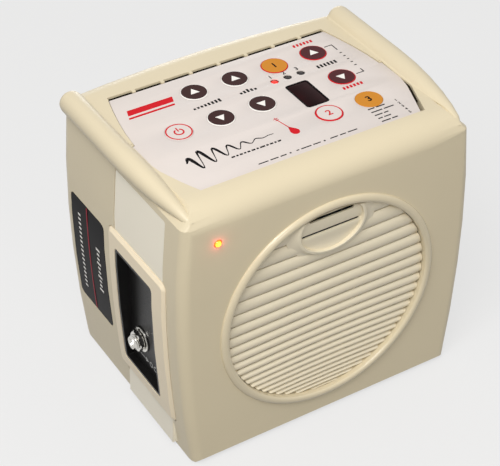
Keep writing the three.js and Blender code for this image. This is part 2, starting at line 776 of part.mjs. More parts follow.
function rearShell(whole) {
  const rear = whole.intersect(block(
    [-bellyHalfWidth * 2, bellyHalfWidth * 2], [rearShellStart, frontFace * 2],
    [-overrun, keypadTop + overrun * 2]));
  const sleeves = postPlaces.map((place) => rod(
    sleeveRadius, 'y', [rearShellStart, rearAt(postX) - wall / 2], place, footSides));
  const boardOver = powerBoardHeight + boardThickness + gap;
  const standoffs = powerStandoffPlaces.flatMap((place) => [
    rod(standoffRadius, 'z', [floorTop - bond, powerBoardHeight - gap], place),
    rod(screwRadius, 'z', [floorTop, boardOver + bond], place),
    rod(screwHeadRadius, 'z', [boardOver, boardOver + stakeHeadHeight], place, pegSides)]);
  const mouth = [
    [inletX - inletFlangeWidth / 2 - gap, inletX + inletFlangeWidth / 2 + gap],
    [inletHeight - inletFlangeHeight / 2 - gap, inletHeight + inletFlangeHeight / 2 + gap]];
  const hole = [
    [inletX - inletWidth / 2 - gap, inletX + inletWidth / 2 + gap],
    [inletHeight - inletBodyHeight / 2 - gap, inletHeight + inletBodyHeight / 2 + gap]];
  return cut(joined([rear, ...sleeves, ...standoffs]), [
    ...postPlaces.map((place) => rod(
      caseScrewHeadRadius + gap, 'y', [rearSeat, rearSeat + counterboreDepth + overrun], place, footSides)),
    ...postPlaces.map((place) => rod(
      caseScrewRadius + gap, 'y', [rearShellStart - overrun, rearSeat + bond], place)),
    block(mouth[0], [inletSeatY, inletSeatY + overrun], mouth[1]),
    block(hole[0], [inletSeatY - overrun, inletSeatY + overrun], hole[1]),
    leftPocket(grown(labelOutline, gap), labelThickness + gap),
  ]);
}

function jackBezel() {
  const ring = (outline, proud) => outline.map(([y, z], i) => (
    new THREE.Vector3(-sideAt(bezelOutline[i][1]) - proud, y, z)));
  const face = grown(bezelOutline, -bezelSlant);
  const frame = loft([
    ring(bezelOutline, -overrun), ring(bezelOutline, 0),
    ring(face, bezelProud), ring(face, bezelProud + overrun)]);
  const reach = [-bellyHalfWidth - overrun, -baseHalfWidth + overrun];
  const opening = prism(grown(trayOutline, gap), 'side', reach);
  return cut(frame.intersect(bodyForm(-bezelProud)), [bodyForm(bezelSeat), opening]);
}

function jackTray() {
  const depth = [-bellyHalfWidth - overrun, -trayFloorX + trayFloorThickness];
  const outer = prism(trayOutline, 'side', depth).intersect(bodyForm(trayRimSunk - bezelProud));
  const hollow = prism(grown(trayOutline, -trayWall), 'side', [-bellyHalfWidth - overrun, -trayFloorX]);
  const hole = rod(
    jackRadius + gap, 'x', [-trayFloorX - overrun, -trayFloorX + overrun], [0, jackY, jackHeight], roundSides);
  return cut(outer, [hollow, hole]);
}

function sidePanel() {
  const panel = leftLayer(panelOutline, panelSunk, panelSunk + panelThickness);
  const lipRoot = panelSunk + panelThickness / 2;
  const lip = prism([
    [-sideAt(bezelBottom) + panelSunk, bezelBottom], [-sideAt(panelBottom) - panelLipProud, panelBottom],
    [-sideAt(panelBottom) + lipRoot, panelBottom], [-sideAt(bezelBottom) + lipRoot, bezelBottom],
  ], 'front', [-panelFront + panelCorner, frontShellEnd - panelCorner]);
  return cut(joined([panel, lip]), [
    leftPocket(grown(bezelOutline, gap), bezelSeat + gap),
    prism(grown(trayOutline, gap), 'side', [-bellyHalfWidth - overrun, -trayFloorX + overrun]),
  ]);
}

function keypadPlate() {
  const flangeRadius = keyRadius + keyFlange;
  const flangeLowest = plateTop - keyFlangeThickness - keyTravel;
  const places = Object.values(keyPlaces);
  const plate = prism(filmOutline, 'top', [plateBottom, plateTop]);
  const standoffs = standoffPlaces.map(([x, y]) => rod(
    standoffRadius, 'z', [boardTop + gap, plateBottom + bond], [x, y, 0], screwSides));
  const displayHole = block(
    [windowCentreX - displayWidth / 2 - gap, windowCentreX + displayWidth / 2 + gap],
    [windowCentreY - displayLength / 2 - gap, windowCentreY + displayLength / 2 + gap],
    [plateBottom - overrun, plateTop + overrun]);
  const pegs = standoffPlaces.flatMap(([x, y]) => [
    rod(screwRadius, 'z', [boardBottom - gap - bond, plateBottom + bond], [x, y, 0]),
    rod(screwHeadRadius, 'z', [boardBottom - gap - stakeHeadHeight, boardBottom - gap], [x, y, 0], pegSides)]);
  return cut(joined([plate, ...standoffs, ...pegs]), [
    ...places.map(([x, y]) => rod(
      flangeRadius + gap, 'z', [flangeLowest - gap, plateTop + overrun], [x, y, 0], keySides)),
    ...places.map(([x, y]) => rod(
      keyStemRadius + gap, 'z', [plateBottom - bond, plateTop], [x, y, 0], pegSides)),
    ...lightPlaces.map(([x, y]) => rod(
      lightRadius + gap, 'z', [plateBottom - bond, plateTop + bond], [x, y, 0], pegSides)),
    displayHole,
  ]);
}

function keypadOverlay() {
  const through = [filmBottom - overrun, keypadTop + overrun];
  return cut(prism(filmOutline, 'top', [filmBottom, keypadTop]), [
    ...Object.values(keyPlaces).map(([x, y]) => rod(
      keyRadius + keyClearance, 'z', through, [x, y, 0], keySides)),
    ...lightPlaces.map(([x, y]) => rod(lightRadius + keyClearance, 'z', through, [x, y, 0], pegSides)),
    prism(windowOutline, 'top', through),
  ]);
}

function key([x, y]) {
  const flangeTop = plateTop;
  const flangeBottom = flangeTop - keyFlangeThickness;
  const capTop = keypadTop + keyProud;
  const profile = [
    [0, flangeBottom - keyStemDepth], [keyStemRadius, flangeBottom - keyStemDepth],
    [keyStemRadius, flangeBottom], [keyRadius + keyFlange, flangeBottom], [keyRadius + keyFlange, flangeTop],
    [keyRadius, flangeTop], [keyRadius, capTop - keyProud], [keyRadius - keyProud, capTop], [0, capTop],
  ];
  return turned(profile, 'z', [x, y, 0], keySides);
}

// Board under the keys with its tact switches soldered on
function keypadBoard() {
  const board = block(
    [-keypadBoardHalfWidth, keypadBoardHalfWidth], [-keypadBoardHalfDepth, keypadBoardHalfDepth],
    [boardBottom, boardTop]);
  const switchTop = boardTop + switchHeight;
  const places = Object.values(keyPlaces);
  const housings = places.map(([x, y]) => block(
    [x - switchWidth / 2, x + switchWidth / 2], [y - switchWidth / 2, y + switchWidth / 2],
    [boardTop - bond, switchTop]));
  return cut(joined([board, ...housings]), [
    ...places.map(([x, y]) => rod(
      keyStemRadius + gap, 'z', [switchTop - switchBoreDepth, switchTop + overrun], [x, y, 0], pegSides)),
    ...standoffPlaces.map(([x, y]) => rod(
      screwRadius + gap, 'z', [boardBottom - overrun, boardTop + overrun], [x, y, 0])),
  ]);
}

// A screw from its head's seat: the head beyond it, the shank before it
function screw(axis, place, seat, headHeight, reach, headRadius, shankRadius) {
  const head = rod(headRadius, axis, [seat, seat + headHeight], place, pegSides);
  return head.add(rod(shankRadius, axis, [seat - reach, seat + bond], place));
}

function slatLine(i) {
  return grilleHeight - slatVanishDrop + (slatTopRise + slatVanishDrop) * slatRatioShare ** i;
}

const slatProfileShares = [[0, 0.1], [0.25, 0.8], [0.55, 1], [0.85, 0.6], [1, 0]];

function speakerGrille() {
  const outer = ringInner - gap;
  const back = -frontFace + grilleDepth;
  const front = -frontFace + grilleSunk;
  const slats = Array.from({ length: slatCount + 1 }, (_, i) => {
    const [high, low] = [slatLine(i - 1) - slatGap / 2, slatLine(i) + slatGap / 2];
    const crest = slatProfileShares.map(([up, out]) => [
      front + slatBulge * (1 - out), low + up * (high - low)]);
    return prism([[back, low], ...crest, [back, high]].reverse(), 'side', [-outer, outer]);
  });
  const rim = rod(outer, 'y', [front, back], grilleCentre, ringSegments).subtract(
    rod(outer - grilleRimWidth, 'y', [front - overrun, back + overrun], grilleCentre, ringSegments));
  const oval = (reach) => ovalOutline(
    [0, ovalHeight], [ovalHalfWidth + reach, ovalHalfHeight + reach], ovalSegments);
  const rimFront = front - ringProud + grilleSunk;
  const field = prism(oval(0), 'front', [rimFront, back]);
  const collarRings = [[0, rimFront + bond], [ovalFlare / 2, front], [ovalFlare, front + slatBulge]];
  const collar = loft([...collarRings, [ovalFlare, back]].map(([reach, y]) => (
    oval(reach).map(([x, z]) => new THREE.Vector3(x, y, z)))));
  const slitMiddle = ovalHeight - slitDrop;
  const slit = block(
    [-slitLength / 2, slitLength / 2], [front - overrun, back + overrun],
    [slitMiddle - slitHeight / 2, slitMiddle + slitHeight / 2]);
  const plate = cut(joined([collar, field]), [
    prism(oval(-ovalRim), 'front', [front - overrun, rimFront + ovalFloorSunk]), slit]);
  const louvres = joined(slats).subtract(prism(oval(0), 'front', [front - overrun, back + overrun]));
  const disc = rod(outer, 'y', [front - overrun, back], grilleCentre, ringSegments);
  return joined([louvres, plate]).intersect(disc).add(rim);
}

// Speaker, from the gasket against the front wall backwards
const basketFront = innerFront + speakerSeatRise + gap;
const basketBack = basketFront + basketDepth;
const coneFace = basketFront + coneSunk;
const coneNeckY = coneFace + coneDepth;

function speakerBasket() {
  const flangeBack = basketFront + basketFlange;
  const step = basketBack - basketWall * 2;
  const frame = turned([
    [basketOpening, basketFront], [basketRadius, basketFront], [basketRadius, flangeBack],
    [basketOpening + basketWall * 2, flangeBack], [basketNeck, step], [basketNeck, basketBack],
    [basketEye, basketBack], [basketEye, basketBack - basketWall],
    [basketNeck - basketWall, basketBack - basketWall],
    [basketNeck - basketWall, step - bond], [basketOpening, flangeBack],
  ], 'y', grilleCentre, basketSegments);
  const windows = Array.from({ length: basketWindowCount / 2 }, (_, i) => {
    const across = block(
      [-basketRadius, basketRadius], [flangeBack + basketWall * 2, step - basketWall * 2],
      [-basketWindowWidth / 2, basketWindowWidth / 2]);
    return across.rotate([0, i * 360 / basketWindowCount, 0]).translate(grilleCentre);
  });
  return cut(frame, [...windows, ...speakerScrewPlaces.map((place) => rod(
    screwRadius + gap, 'y', [basketFront - overrun, flangeBack + overrun], place))]);
}

function speakerCone() {
  const slope = coneThickness * coneSlopeShare;
  return turned([
    [coneNeck, coneNeckY], [coneRadius - coneLip, coneFace], [coneRadius, coneFace],
    [coneRadius, coneFace + coneThickness], [coneRadius - coneLip, coneFace + slope],
    [coneNeck, coneNeckY + slope],
  ], 'y', grilleCentre, basketSegments);
}

function dustCap() {
  const slope = coneDepth / (coneRadius - coneLip - coneNeck);
  const seat = coneNeckY - (dustCapRadius - coneNeck) * slope - gap;
  const outer = arc([0, seat], [dustCapRadius, -dustCapHeight], 0, cornerSteps);
  const thinnerShare = 1 - coneThickness / dustCapRadius;
  const lowerShare = 1 - coneThickness / dustCapHeight;
  const inner = outer.map(([radius, place]) => [radius * thinnerShare, place]).reverse();
  const lowered = inner.map(([radius, place]) => [radius, seat + (place - seat) * lowerShare]);
  outer[outer.length - 1][0] = 0;
  lowered[0][0] = 0;
  return turned([...outer, ...lowered].reverse(), 'y', grilleCentre, roundSides);
}

function voiceCoil() {
  const plateMiddle = basketBack + gap + polePlateThickness / 2;
  const [coilFront, coilBack] = [plateMiddle - coilLength / 2, plateMiddle + coilLength / 2];
  const inside = coilFormerRadius - coilFormerWall;
  return turned([
    [inside, coilBack - formerLength], [coilFormerRadius, coilBack - formerLength], [coilFormerRadius, coilFront],
    [coilRadius, coilFront], [coilRadius, coilBack], [inside, coilBack],
  ], 'y', grilleCentre, roundSides);
}

const surroundRollShares = [0.22, 0.5, 0.78];

function speakerSurround() {
  const lip = basketFront - gap - surroundThickness;
  const [inner, outer] = [surroundInner + surroundThickness * 2, surroundRoll];
  const roll = surroundRollShares.map((share) => [
    inner + share * (outer - inner),
    coneFace + share * (lip - coneFace) - Math.sin(share * Math.PI) * surroundHeight]);
  const front = [[surroundInner, coneFace], [inner, coneFace], ...roll, [outer, lip], [surroundOuter, lip]];
  const back = front.map(([radius, place]) => [radius, place + surroundThickness]).reverse();
  return turned([...front, ...back], 'y', grilleCentre, basketSegments);
}

function speakerSpider() {
  const inner = coilFormerRadius + gap;
  const nearest = coneNeckY + coneThickness * coneSlopeShare + coneTravel + gap;
  const front = Array.from({ length: spiderFolds + 1 }, (_, i) => [
    inner + i / spiderFolds * (spiderOuter - inner), nearest + (i % 2) * spiderWave]);
  const back = front.map(([radius, place]) => [radius, place + spiderThickness]).reverse();
  return turned([...front, ...back], 'y', grilleCentre, basketSegments);
}

function ringPlate(bore, radius, [from, to], segments = basketSegments) {
  return turned([[bore, from], [radius, from], [radius, to], [bore, to]], 'y', grilleCentre, segments);
}

const polePlateBack = basketBack + gap + polePlateThickness;
const magnetBack = polePlateBack + gap + magnetThickness;

function backPolePlate() {
  const back = magnetBack + gap + polePlateThickness;
  const poleFront = basketBack + gap;
  return turned([
    [0, poleFront], [poleRadius, poleFront], [poleRadius, magnetBack + gap],
    [polePlateRadius, magnetBack + gap], [polePlateRadius, back], [0, back],
  ], 'y', grilleCentre, basketSegments);
}

function speakerTerminals() {
  const front = basketFront + basketFlange + gap;
  const low = grilleHeight - basketRadius + bond;
  const strip = block(
    [-terminalWidth / 2, terminalWidth / 2], [front, front + terminalThickness], [low, low + terminalHeight]);
  const lug = block(
    [-terminalWidth / 4, terminalWidth / 4], [front + bond, front + terminalThickness * 2],
    [low + terminalHeight / 4, low + terminalHeight * 3 / 4]);
  return strip.add(lug);
}

// Output socket, from the tip of its bushing inwards
const jackTip = -trayFloorX - jackProud;
const jackCentre = [0, jackY, jackHeight];
const trayBackFace = -trayFloorX + trayFloorThickness;

function lineOutJack() {
  const start = trayBackFace + gap;
  const bushing = rod(jackRadius, 'x', [jackTip, start + bond], jackCentre, roundSides);
  const housing = block(
    [start, start + jackBodyLength], [jackY - jackBodyHalfWidth, jackY + jackBodyHalfWidth],
    [jackHeight - jackBodyHalfHeight, jackHeight + jackBodyHalfHeight]);
  return bushing.add(housing).subtract(
    rod(jackBore, 'x', [jackTip - overrun, start + jackBoreDepth], jackCentre, pegSides));
}

function jackRing(radius, [from, to], sides) {
  return rod(radius, 'x', [from, to], jackCentre, sides).subtract(
    rod(jackRadius + gap, 'x', [from - overrun, to + overrun], jackCentre, roundSides));
}

function powerLed() {
  const face = -frontFace - powerLightProud;
  const flangeFront = innerFront + gap;
  const back = face + powerLightLength;
  return turned([
    ...arc([0, face + lightRadius], [lightRadius, -lightRadius], 0, cornerSteps).reverse(),
    [lightRadius, flangeFront], [lightRadius + powerLightFlange, flangeFront],
    [lightRadius + powerLightFlange, flangeFront + powerLightFlange * 2],
    [lightRadius, flangeFront + powerLightFlange * 2], [lightRadius, back], [0, back],
  ], 'y', [powerLightX, 0, powerLightHeight], pegSides);
}

// Mains inlet: a flanged body with a figure-of-eight mouth
const inletFace = inletSeatY + gap + inletFlangeThickness;

function acInlet() {
  const flange = block(
    [inletX - inletFlangeWidth / 2, inletX + inletFlangeWidth / 2], [inletSeatY + gap, inletFace],
    [inletHeight - inletFlangeHeight / 2, inletHeight + inletFlangeHeight / 2]);
  const body = block(
    [inletX - inletWidth / 2, inletX + inletWidth / 2],
    [inletFace - inletLength, inletFace - inletFlangeThickness / 2],
    [inletHeight - inletBodyHeight / 2, inletHeight + inletBodyHeight / 2]);
  const mouth = [inletFace - inletMouthDepth, inletFace + overrun];
  const lobes = [-1, 1].map((side) => rod(
    inletMouthRadius, 'y', mouth, [inletX + side * inletPinSpread, 0, inletHeight], roundSides));
  const waist = block(
    [inletX - inletPinSpread, inletX + inletPinSpread], mouth,
    [inletHeight - inletMouthRadius, inletHeight + inletMouthRadius]);
  const root = inletFace - inletMouthDepth;
  const pins = [-1, 1].map((side) => rod(
    inletPinRadius, 'y', [root - bond, root + inletPinLength], [inletX + side * inletPinSpread, 0, inletHeight]));
  return joined([cut(flange.add(body), [...lobes, waist]), ...pins]);
}

// Power board with its amplifier chip, and what stands on it
const powerBoardTop = powerBoardHeight + boardThickness;
const partsBottom = powerBoardTop + gap;
const heatSinkFront = partsRowY - (heatSinkBase + heatSinkFinDepth) / 2;

function powerBoard() {
  const board = block(
    [-powerBoardHalfWidth, powerBoardHalfWidth], [powerBoardFront, powerBoardRear],
    [powerBoardHeight, powerBoardTop]);
  const chipBack = heatSinkFront - gap;
  const chip = block(
    [heatSinkX - chipWidth / 2, heatSinkX + chipWidth / 2], [chipBack - chipThickness, chipBack],
    [powerBoardTop - bond, partsBottom + chipHeight]);
  return cut(board.add(chip), powerStandoffPlaces.map((place) => rod(
    screwRadius + gap, 'z', [powerBoardHeight - overrun, powerBoardTop + overrun], place)));
}

function transformer() {
  const half = [transformerWidth / 2, transformerDepth / 2];
  const x = [transformerX - half[0], transformerX + half[0]];
  const y = [partsRowY - half[1], partsRowY + half[1]];
  const foot = block(x, y, [partsBottom, partsBottom + bobbinFlange]);
  const core = block(
    [x[0] + bobbinFlange * 3, x[1] - bobbinFlange * 3], y, [partsBottom + bond, partsBottom + transformerHeight]);
  const winding = rod(
    half[1] - bobbinFlange, 'x', [x[0] + bobbinFlange, x[1] - bobbinFlange],
    [0, partsRowY, partsBottom + transformerHeight / 2], roundSides);
  return joined([foot, core, winding]);
}

function filterCapacitor() {
  const top = partsBottom + capacitorHeight;
  const shoulder = capacitorRadius / 10;
  const outline = [
    [0, partsBottom], [capacitorRadius, partsBottom], [capacitorRadius, partsBottom + shoulder * 2],
    [capacitorRadius - shoulder, partsBottom + shoulder * 3], [capacitorRadius, partsBottom + shoulder * 4],
    [capacitorRadius, top - shoulder], [capacitorRadius - shoulder, top], [0, top]];
  return turned(outline, 'z', [capacitorX, partsRowY, 0], roundSides);
}

function heatSink() {
  const x = [heatSinkX - heatSinkWidth / 2, heatSinkX + heatSinkWidth / 2];
  const top = partsBottom + heatSinkHeight;
  const base = block(x, [heatSinkFront, heatSinkFront + heatSinkBase], [partsBottom, top]);
  const finPitch = (heatSinkWidth - heatSinkBase / 2) / (heatSinkFinCount - 1);
  const fins = Array.from({ length: heatSinkFinCount }, (_, i) => block(
    [x[0] + i * finPitch, x[0] + i * finPitch + heatSinkBase / 2],
    [heatSinkFront + heatSinkBase / 2, heatSinkFront + heatSinkBase + heatSinkFinDepth], [partsBottom, top]));
  return joined([base, ...fins]);
}

// Leads that run inside the case from face to face
function lead(points) {
  const path = new THREE.CatmullRomCurve3(points.map((point) => new THREE.Vector3(...point)));
  const section = new THREE.Shape(ovalOutline([0, 0], [leadRadius, leadRadius], leadSides).map(([u, v]) => (
    new THREE.Vector2(u, v))));
  return facingOut(mergeVertices(
    new THREE.ExtrudeGeometry(section, { steps: leadSteps, extrudePath: path }), mergeTolerance));
}

function leadPair(points, shift) {
  return joined([-1, 1].map((side) => lead(points.map((point) => (
    point.map((value, i) => value + side * shift[i]))))));
}

function ribbonCable() {
  const top = boardBottom - gap;
  const front = Array.from({ length: ribbonSteps + 1 }, (_, i) => {
    const share = i / ribbonSteps;
    return [ribbonRow + ribbonSwing * Math.sin(share * Math.PI) ** 2, partsBottom + share * (top - partsBottom)];
  });
  const back = front.map(([y, z]) => [y + ribbonThickness, z]).reverse();
  return prism([...front, ...back].reverse(), 'side', [ribbonX - ribbonHalfWidth, ribbonX + ribbonHalfWidth]);
}

// A pilot light on the keypad board, its dome just under the film's surface
function keypadLight([x, y]) {
  const [bottom, top] = [boardTop + gap, keypadTop - lightSunk];
  const dome = arc([0, top - lightRadius], [lightRadius, lightRadius], 0, cornerSteps);
  return turned([[0, bottom], [lightRadius, bottom], ...dome], 'z', [x, y, 0], pegSides);
}

function digitDisplay() {
  return block(
    [windowCentreX - displayWidth / 2, windowCentreX + displayWidth / 2],
    [windowCentreY - displayLength / 2, windowCentreY + displayLength / 2], [boardTop + gap, plateTop - gap]);
}

const washerFront = -trayFloorX - gap - jackWasherThickness;
const speakerSeat = basketFront + basketFlange + gap;
const lugEnd = speakerSeat + terminalThickness * 2;
const lugHeight = grilleHeight - basketRadius + bond + terminalHeight / 2;
const padHeight = partsBottom + leadRadius;
const padRow = powerBoardFront + powerStandoffInset;

const whole = wholeCase();

function material(color, roughness, metalness = 0) {
  return new THREE.MeshStandardMaterial({ color, roughness, metalness });
}

const parts = new THREE.Group();
parts.position.y = centring;    // the box's depth lies evenly about the origin
function addPart(name, form, finish) {
  const mesh = new THREE.Mesh(geometryOf(form), finish);
  mesh.name = name;
  parts.add(mesh);
}

addPart('front_shell', frontShell(whole), material('#c9bc9f', 0.5));
addPart('rear_shell', rearShell(whole), material('#dcd1b6', 0.5));
addPart('side_panel', sidePanel(), material('#ddd7c1', 0.5));
addPart('jack_bezel', jackBezel(), material('#c2b496', 0.5));
addPart('jack_tray', jackTray(), material('#1c1c1c', 0.55));
addPart('side_label', leftLayer(labelOutline, 0, labelThickness), material('#141318', 0.35));
footPlaces.forEach((place, i) => addPart(
  `rubber_foot_${i + 1}`, rod(footRadius, 'z', [0, footThickness], place, footSides), material('#222222', 0.9)));
postPlaces.forEach((place, i) => addPart(`case_screw_${i + 1}`, screw(
  'y', place, rearSeat + gap, caseScrewHeadHeight, rearSeat - frontShellEnd + caseScrewReach,
  caseScrewHeadRadius, caseScrewRadius), material('#8c8c8c', 0.35, 1)));

addPart('keypad_overlay', keypadOverlay(), material('#e8e0dd', 0.4));
addPart('keypad_plate', keypadPlate(), material('#2a2827', 0.6));
const keyFinishes = {
  key_power: '#e8e0dd', key_note: '#e0a23a', key_memory: '#e8e0dd', key_mode: '#e0a23a',
  key_pitch_up: '#4a1a1e', key_pitch_down: '#4a1a1e',
};
for (const [name, place] of Object.entries(keyPlaces)) {
  addPart(name, key(place), material(keyFinishes[name] ?? '#3b2326', 0.4));
}
addPart('keypad_board', keypadBoard(), material('#2f5a3a', 0.5));
addPart('digit_display', digitDisplay(), material('#2a0f12', 0.3));
addPart('display_window', prism(
  grown(windowOutline, -keyClearance), 'top', [filmBottom, keypadTop - lightSunk]), material('#3a1216', 0.1));
addPart('note_led_1', keypadLight(lightPlaces[0]), material('#ff3a20', 0.2));
addPart('note_led_2', keypadLight(lightPlaces[1]), material('#4a1214', 0.25));
addPart('note_led_3', keypadLight(lightPlaces[2]), material('#4a1214', 0.25));
addPart('power_led', powerLed(), material('#ff4a22', 0.2));

addPart('speaker_grille', speakerGrille(), material('#d6cdaf', 0.5));
addPart('speaker_basket', speakerBasket(), material('#7d7f80', 0.4, 1));
addPart('speaker_surround', speakerSurround(), material('#1e1e1f', 0.9));
addPart('speaker_spider', speakerSpider(), material('#a07c3c', 0.9));
addPart('speaker_terminals', speakerTerminals(), material('#8a6a38', 0.6));
speakerScrewPlaces.forEach((place, i) => addPart(`speaker_screw_${i + 1}`, screw(
  'y', place, speakerSeat, screwHeadHeight, speakerSeat - innerFront + speakerScrewReach - gap,
  screwHeadRadius, screwRadius), material('#909090', 0.35, 1)));
addPart('speaker_cone', speakerCone(), material('#232323', 0.9));
addPart('dust_cap', dustCap(), material('#1b1b1b', 0.6));
addPart('voice_coil', voiceCoil(), material('#b0692f', 0.4, 1));
addPart('front_pole_plate', ringPlate(
  polePlateBore, polePlateRadius, [basketBack + gap, polePlateBack]), material('#6f7072', 0.4, 1));
addPart('speaker_magnet', ringPlate(
  magnetBore, magnetRadius, [polePlateBack + gap, magnetBack]), material('#2e2e30', 0.7));
addPart('back_pole_plate', backPolePlate(), material('#727375', 0.4, 1));

addPart('line_out_jack', lineOutJack(), material('#c8c8c6', 0.25, 1));
addPart('jack_nut', jackRing(
  jackNutRadius, [washerFront - gap - jackNutHeight, washerFront - gap], nutSides), material('#c6c6c4', 0.25, 1));
addPart('jack_washer', jackRing(
  jackWasherRadius, [washerFront, -trayFloorX - gap], roundSides), material('#bfbfbd', 0.25, 1));
addPart('ac_inlet', acInlet(), material('#161616', 0.5));

addPart('power_board', powerBoard(), material('#2f5a3a', 0.5));
addPart('transformer', transformer(), material('#3a3a3c', 0.5));
addPart('filter_capacitor', filterCapacitor(), material('#20304a', 0.4));
addPart('heat_sink', heatSink(), material('#b9bbbd', 0.35, 1));
addPart('ribbon_cable', ribbonCable(), material('#8f9296', 0.6));
addPart('speaker_leads', leadPair([
  [0, lugEnd + gap, lugHeight], [0, lugEnd + leadRun, lugHeight],
  [speakerPadX, powerBoardFront - leadRun, padHeight + leadRise],
  [speakerPadX, padRow - leadSpread, padHeight + leadRise], [speakerPadX, padRow, padHeight]],
[leadSpread, 0, 0]), material('#a02020', 0.6));
addPart('jack_leads', leadPair([
  [trayBackFace + gap * 3 + jackBodyLength, jackY, jackHeight],
  [trayBackFace + jackBodyLength + leadRun, jackY, jackHeight],
  [jackPadX - leadSpread, (jackY + padRow) / 2, (jackHeight + padHeight) / 2],
  [jackPadX, padRow, padHeight + leadRise], [jackPadX, padRow, padHeight]],
[0, leadSpread, 0]), material('#2c2c2e', 0.6));
addPart('mains_leads', leadPair([
  [inletX, inletFace - inletLength - leadRadius, inletHeight],
  [inletX, mainsPadRow + leadSpread, inletHeight - leadRise],
  [inletX, mainsPadRow, (inletHeight + padHeight) / 2], [inletX, mainsPadRow, padHeight]],
[leadSpread, 0, 0]), material('#4a2c1c', 0.6));

export default parts;
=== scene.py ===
# Electronic tanpura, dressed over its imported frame. Lengths are in millimetres, turned to metres on the mesh.
import math

import bmesh
import bpy
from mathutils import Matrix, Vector


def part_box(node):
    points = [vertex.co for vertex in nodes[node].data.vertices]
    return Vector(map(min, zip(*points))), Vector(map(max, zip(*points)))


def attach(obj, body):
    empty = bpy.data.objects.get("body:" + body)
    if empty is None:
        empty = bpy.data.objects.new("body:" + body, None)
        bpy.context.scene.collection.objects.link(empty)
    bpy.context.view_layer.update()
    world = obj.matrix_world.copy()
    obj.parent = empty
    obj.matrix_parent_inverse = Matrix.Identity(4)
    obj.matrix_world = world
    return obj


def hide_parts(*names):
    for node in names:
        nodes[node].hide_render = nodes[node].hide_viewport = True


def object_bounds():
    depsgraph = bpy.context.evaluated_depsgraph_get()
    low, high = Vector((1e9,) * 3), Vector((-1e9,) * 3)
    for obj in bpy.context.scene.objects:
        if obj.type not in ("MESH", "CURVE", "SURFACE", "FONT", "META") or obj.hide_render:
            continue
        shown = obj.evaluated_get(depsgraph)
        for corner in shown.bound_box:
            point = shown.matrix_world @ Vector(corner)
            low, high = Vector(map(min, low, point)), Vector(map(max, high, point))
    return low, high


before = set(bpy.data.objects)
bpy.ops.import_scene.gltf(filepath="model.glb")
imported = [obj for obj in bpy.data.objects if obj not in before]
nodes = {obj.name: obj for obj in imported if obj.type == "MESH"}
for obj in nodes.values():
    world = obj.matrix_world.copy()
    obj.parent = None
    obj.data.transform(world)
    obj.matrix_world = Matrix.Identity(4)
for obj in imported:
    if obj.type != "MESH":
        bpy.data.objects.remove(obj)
cad_low, cad_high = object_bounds()


# Camera, at the place from which the photograph was taken: in front of the box, to its left and above it. Its
# long lens gives the photograph's weak perspective.
camera_azimuth, camera_elevation = math.radians(-31.41), math.radians(38.15)
camera_distance = 648.45
camera_aim = Vector((-5.06, 0.675, 59.9))
lens_length, sensor_width = 115.94, 36
nearest_seen, farthest_seen = 50, 20000
mm = 0.001
toward_camera = Vector((
    math.sin(camera_azimuth) * math.cos(camera_elevation),
    -math.cos(camera_azimuth) * math.cos(camera_elevation),
    math.sin(camera_elevation)))
camera = bpy.data.objects.new("camera", bpy.data.cameras.new("camera"))
camera.data.lens, camera.data.sensor_width = lens_length, sensor_width
camera.data.clip_start, camera.data.clip_end = nearest_seen * mm, farthest_seen * mm
camera.location = (camera_aim + toward_camera * camera_distance) * mm
camera.rotation_mode = "QUATERNION"
camera.rotation_quaternion = toward_camera.to_track_quat("Z", "Y")
bpy.context.scene.collection.objects.link(camera)
bpy.context.scene.camera = camera


# Light: a broad soft lamp high on the left, weaker ones in front and behind, and a plain pale surround. The
# camera sees the backdrop at its own grey, while the object gets an even light from it.
def linear(hex_colour):
    """An sRGB hex colour as linear red, green, blue and alpha."""
    shares = [int(hex_colour[i:i + 2], 16) / 255 for i in (1, 3, 5)]
    return (*[s / 12.92 if s <= 0.04045 else ((s + 0.055) / 1.055) ** 2.4 for s in shares], 1)


def add(tree, kind, links=(), **settings):
    """Adds a shader node, sets its properties or sockets, and links (output, socket) pairs into it."""
    node = tree.nodes.new("ShaderNode" + kind)
    for name, value in settings.items():
        if name in node.bl_rna.properties:
            setattr(node, name, value)
        else:
            node.inputs[name.replace("_", " ")].default_value = value
    for output, socket in links:
        tree.links.new(output, node.inputs[socket])
    return node


def seen_itself(tree):
    """1 for rays that show the surround itself, straight, mirrored or through glass, and 0 for its light."""
    ray = add(tree, "LightPath").outputs
    seen = add(tree, "Math", [(ray["Is Camera Ray"], 0), (ray["Is Glossy Ray"], 1)], operation="MAXIMUM")
    seen = add(tree, "Math", [(seen.outputs[0], 0), (ray["Is Transmission Ray"], 1)], operation="MAXIMUM")
    return seen.outputs[0]


backdrop_grey = "#ebebeb"
room_strength, floor_glow, floor_shade, floor_bounce = 0.5, 0.8, 0.18, 0.11
world = bpy.data.worlds.new("pale_room")
world.use_nodes = True
bpy.context.scene.world = world
tree = world.node_tree
tree.nodes.clear()
room = add(tree, "Background", Color=(1.0, 0.99, 0.97, 1), Strength=room_strength)
shown = add(tree, "Background", Color=linear(backdrop_grey), Strength=1.0)
mixed = add(tree, "MixShader", [(seen_itself(tree), 0), (room.outputs[0], 1), (shown.outputs[0], 2)])
add(tree, "OutputWorld", [(mixed.outputs[0], "Surface")])

lamps = {
    "key_lamp": ((-430, -330, 820), 450, 5.75, (1.0, 0.99, 0.975)),
    "fill_lamp": ((-60, -820, 330), 200, 0.85, (1.0, 0.97, 0.91)),
    "back_lamp": ((400, 800, 60), 300, 1.5, (1.0, 0.99, 0.97)),
}
for name, (place, width, power, tint) in lamps.items():
    lamp = bpy.data.objects.new(name, bpy.data.lights.new(name, "AREA"))
    lamp.data.size = width * mm
    lamp.data.energy = power
    lamp.data.color = tint
    lamp.location = Vector(place) * mm
    lamp.rotation_mode = "QUATERNION"
    lamp.rotation_quaternion = (Vector(place) - camera_aim).to_track_quat("Z", "Y")
    bpy.context.scene.collection.objects.link(lamp)

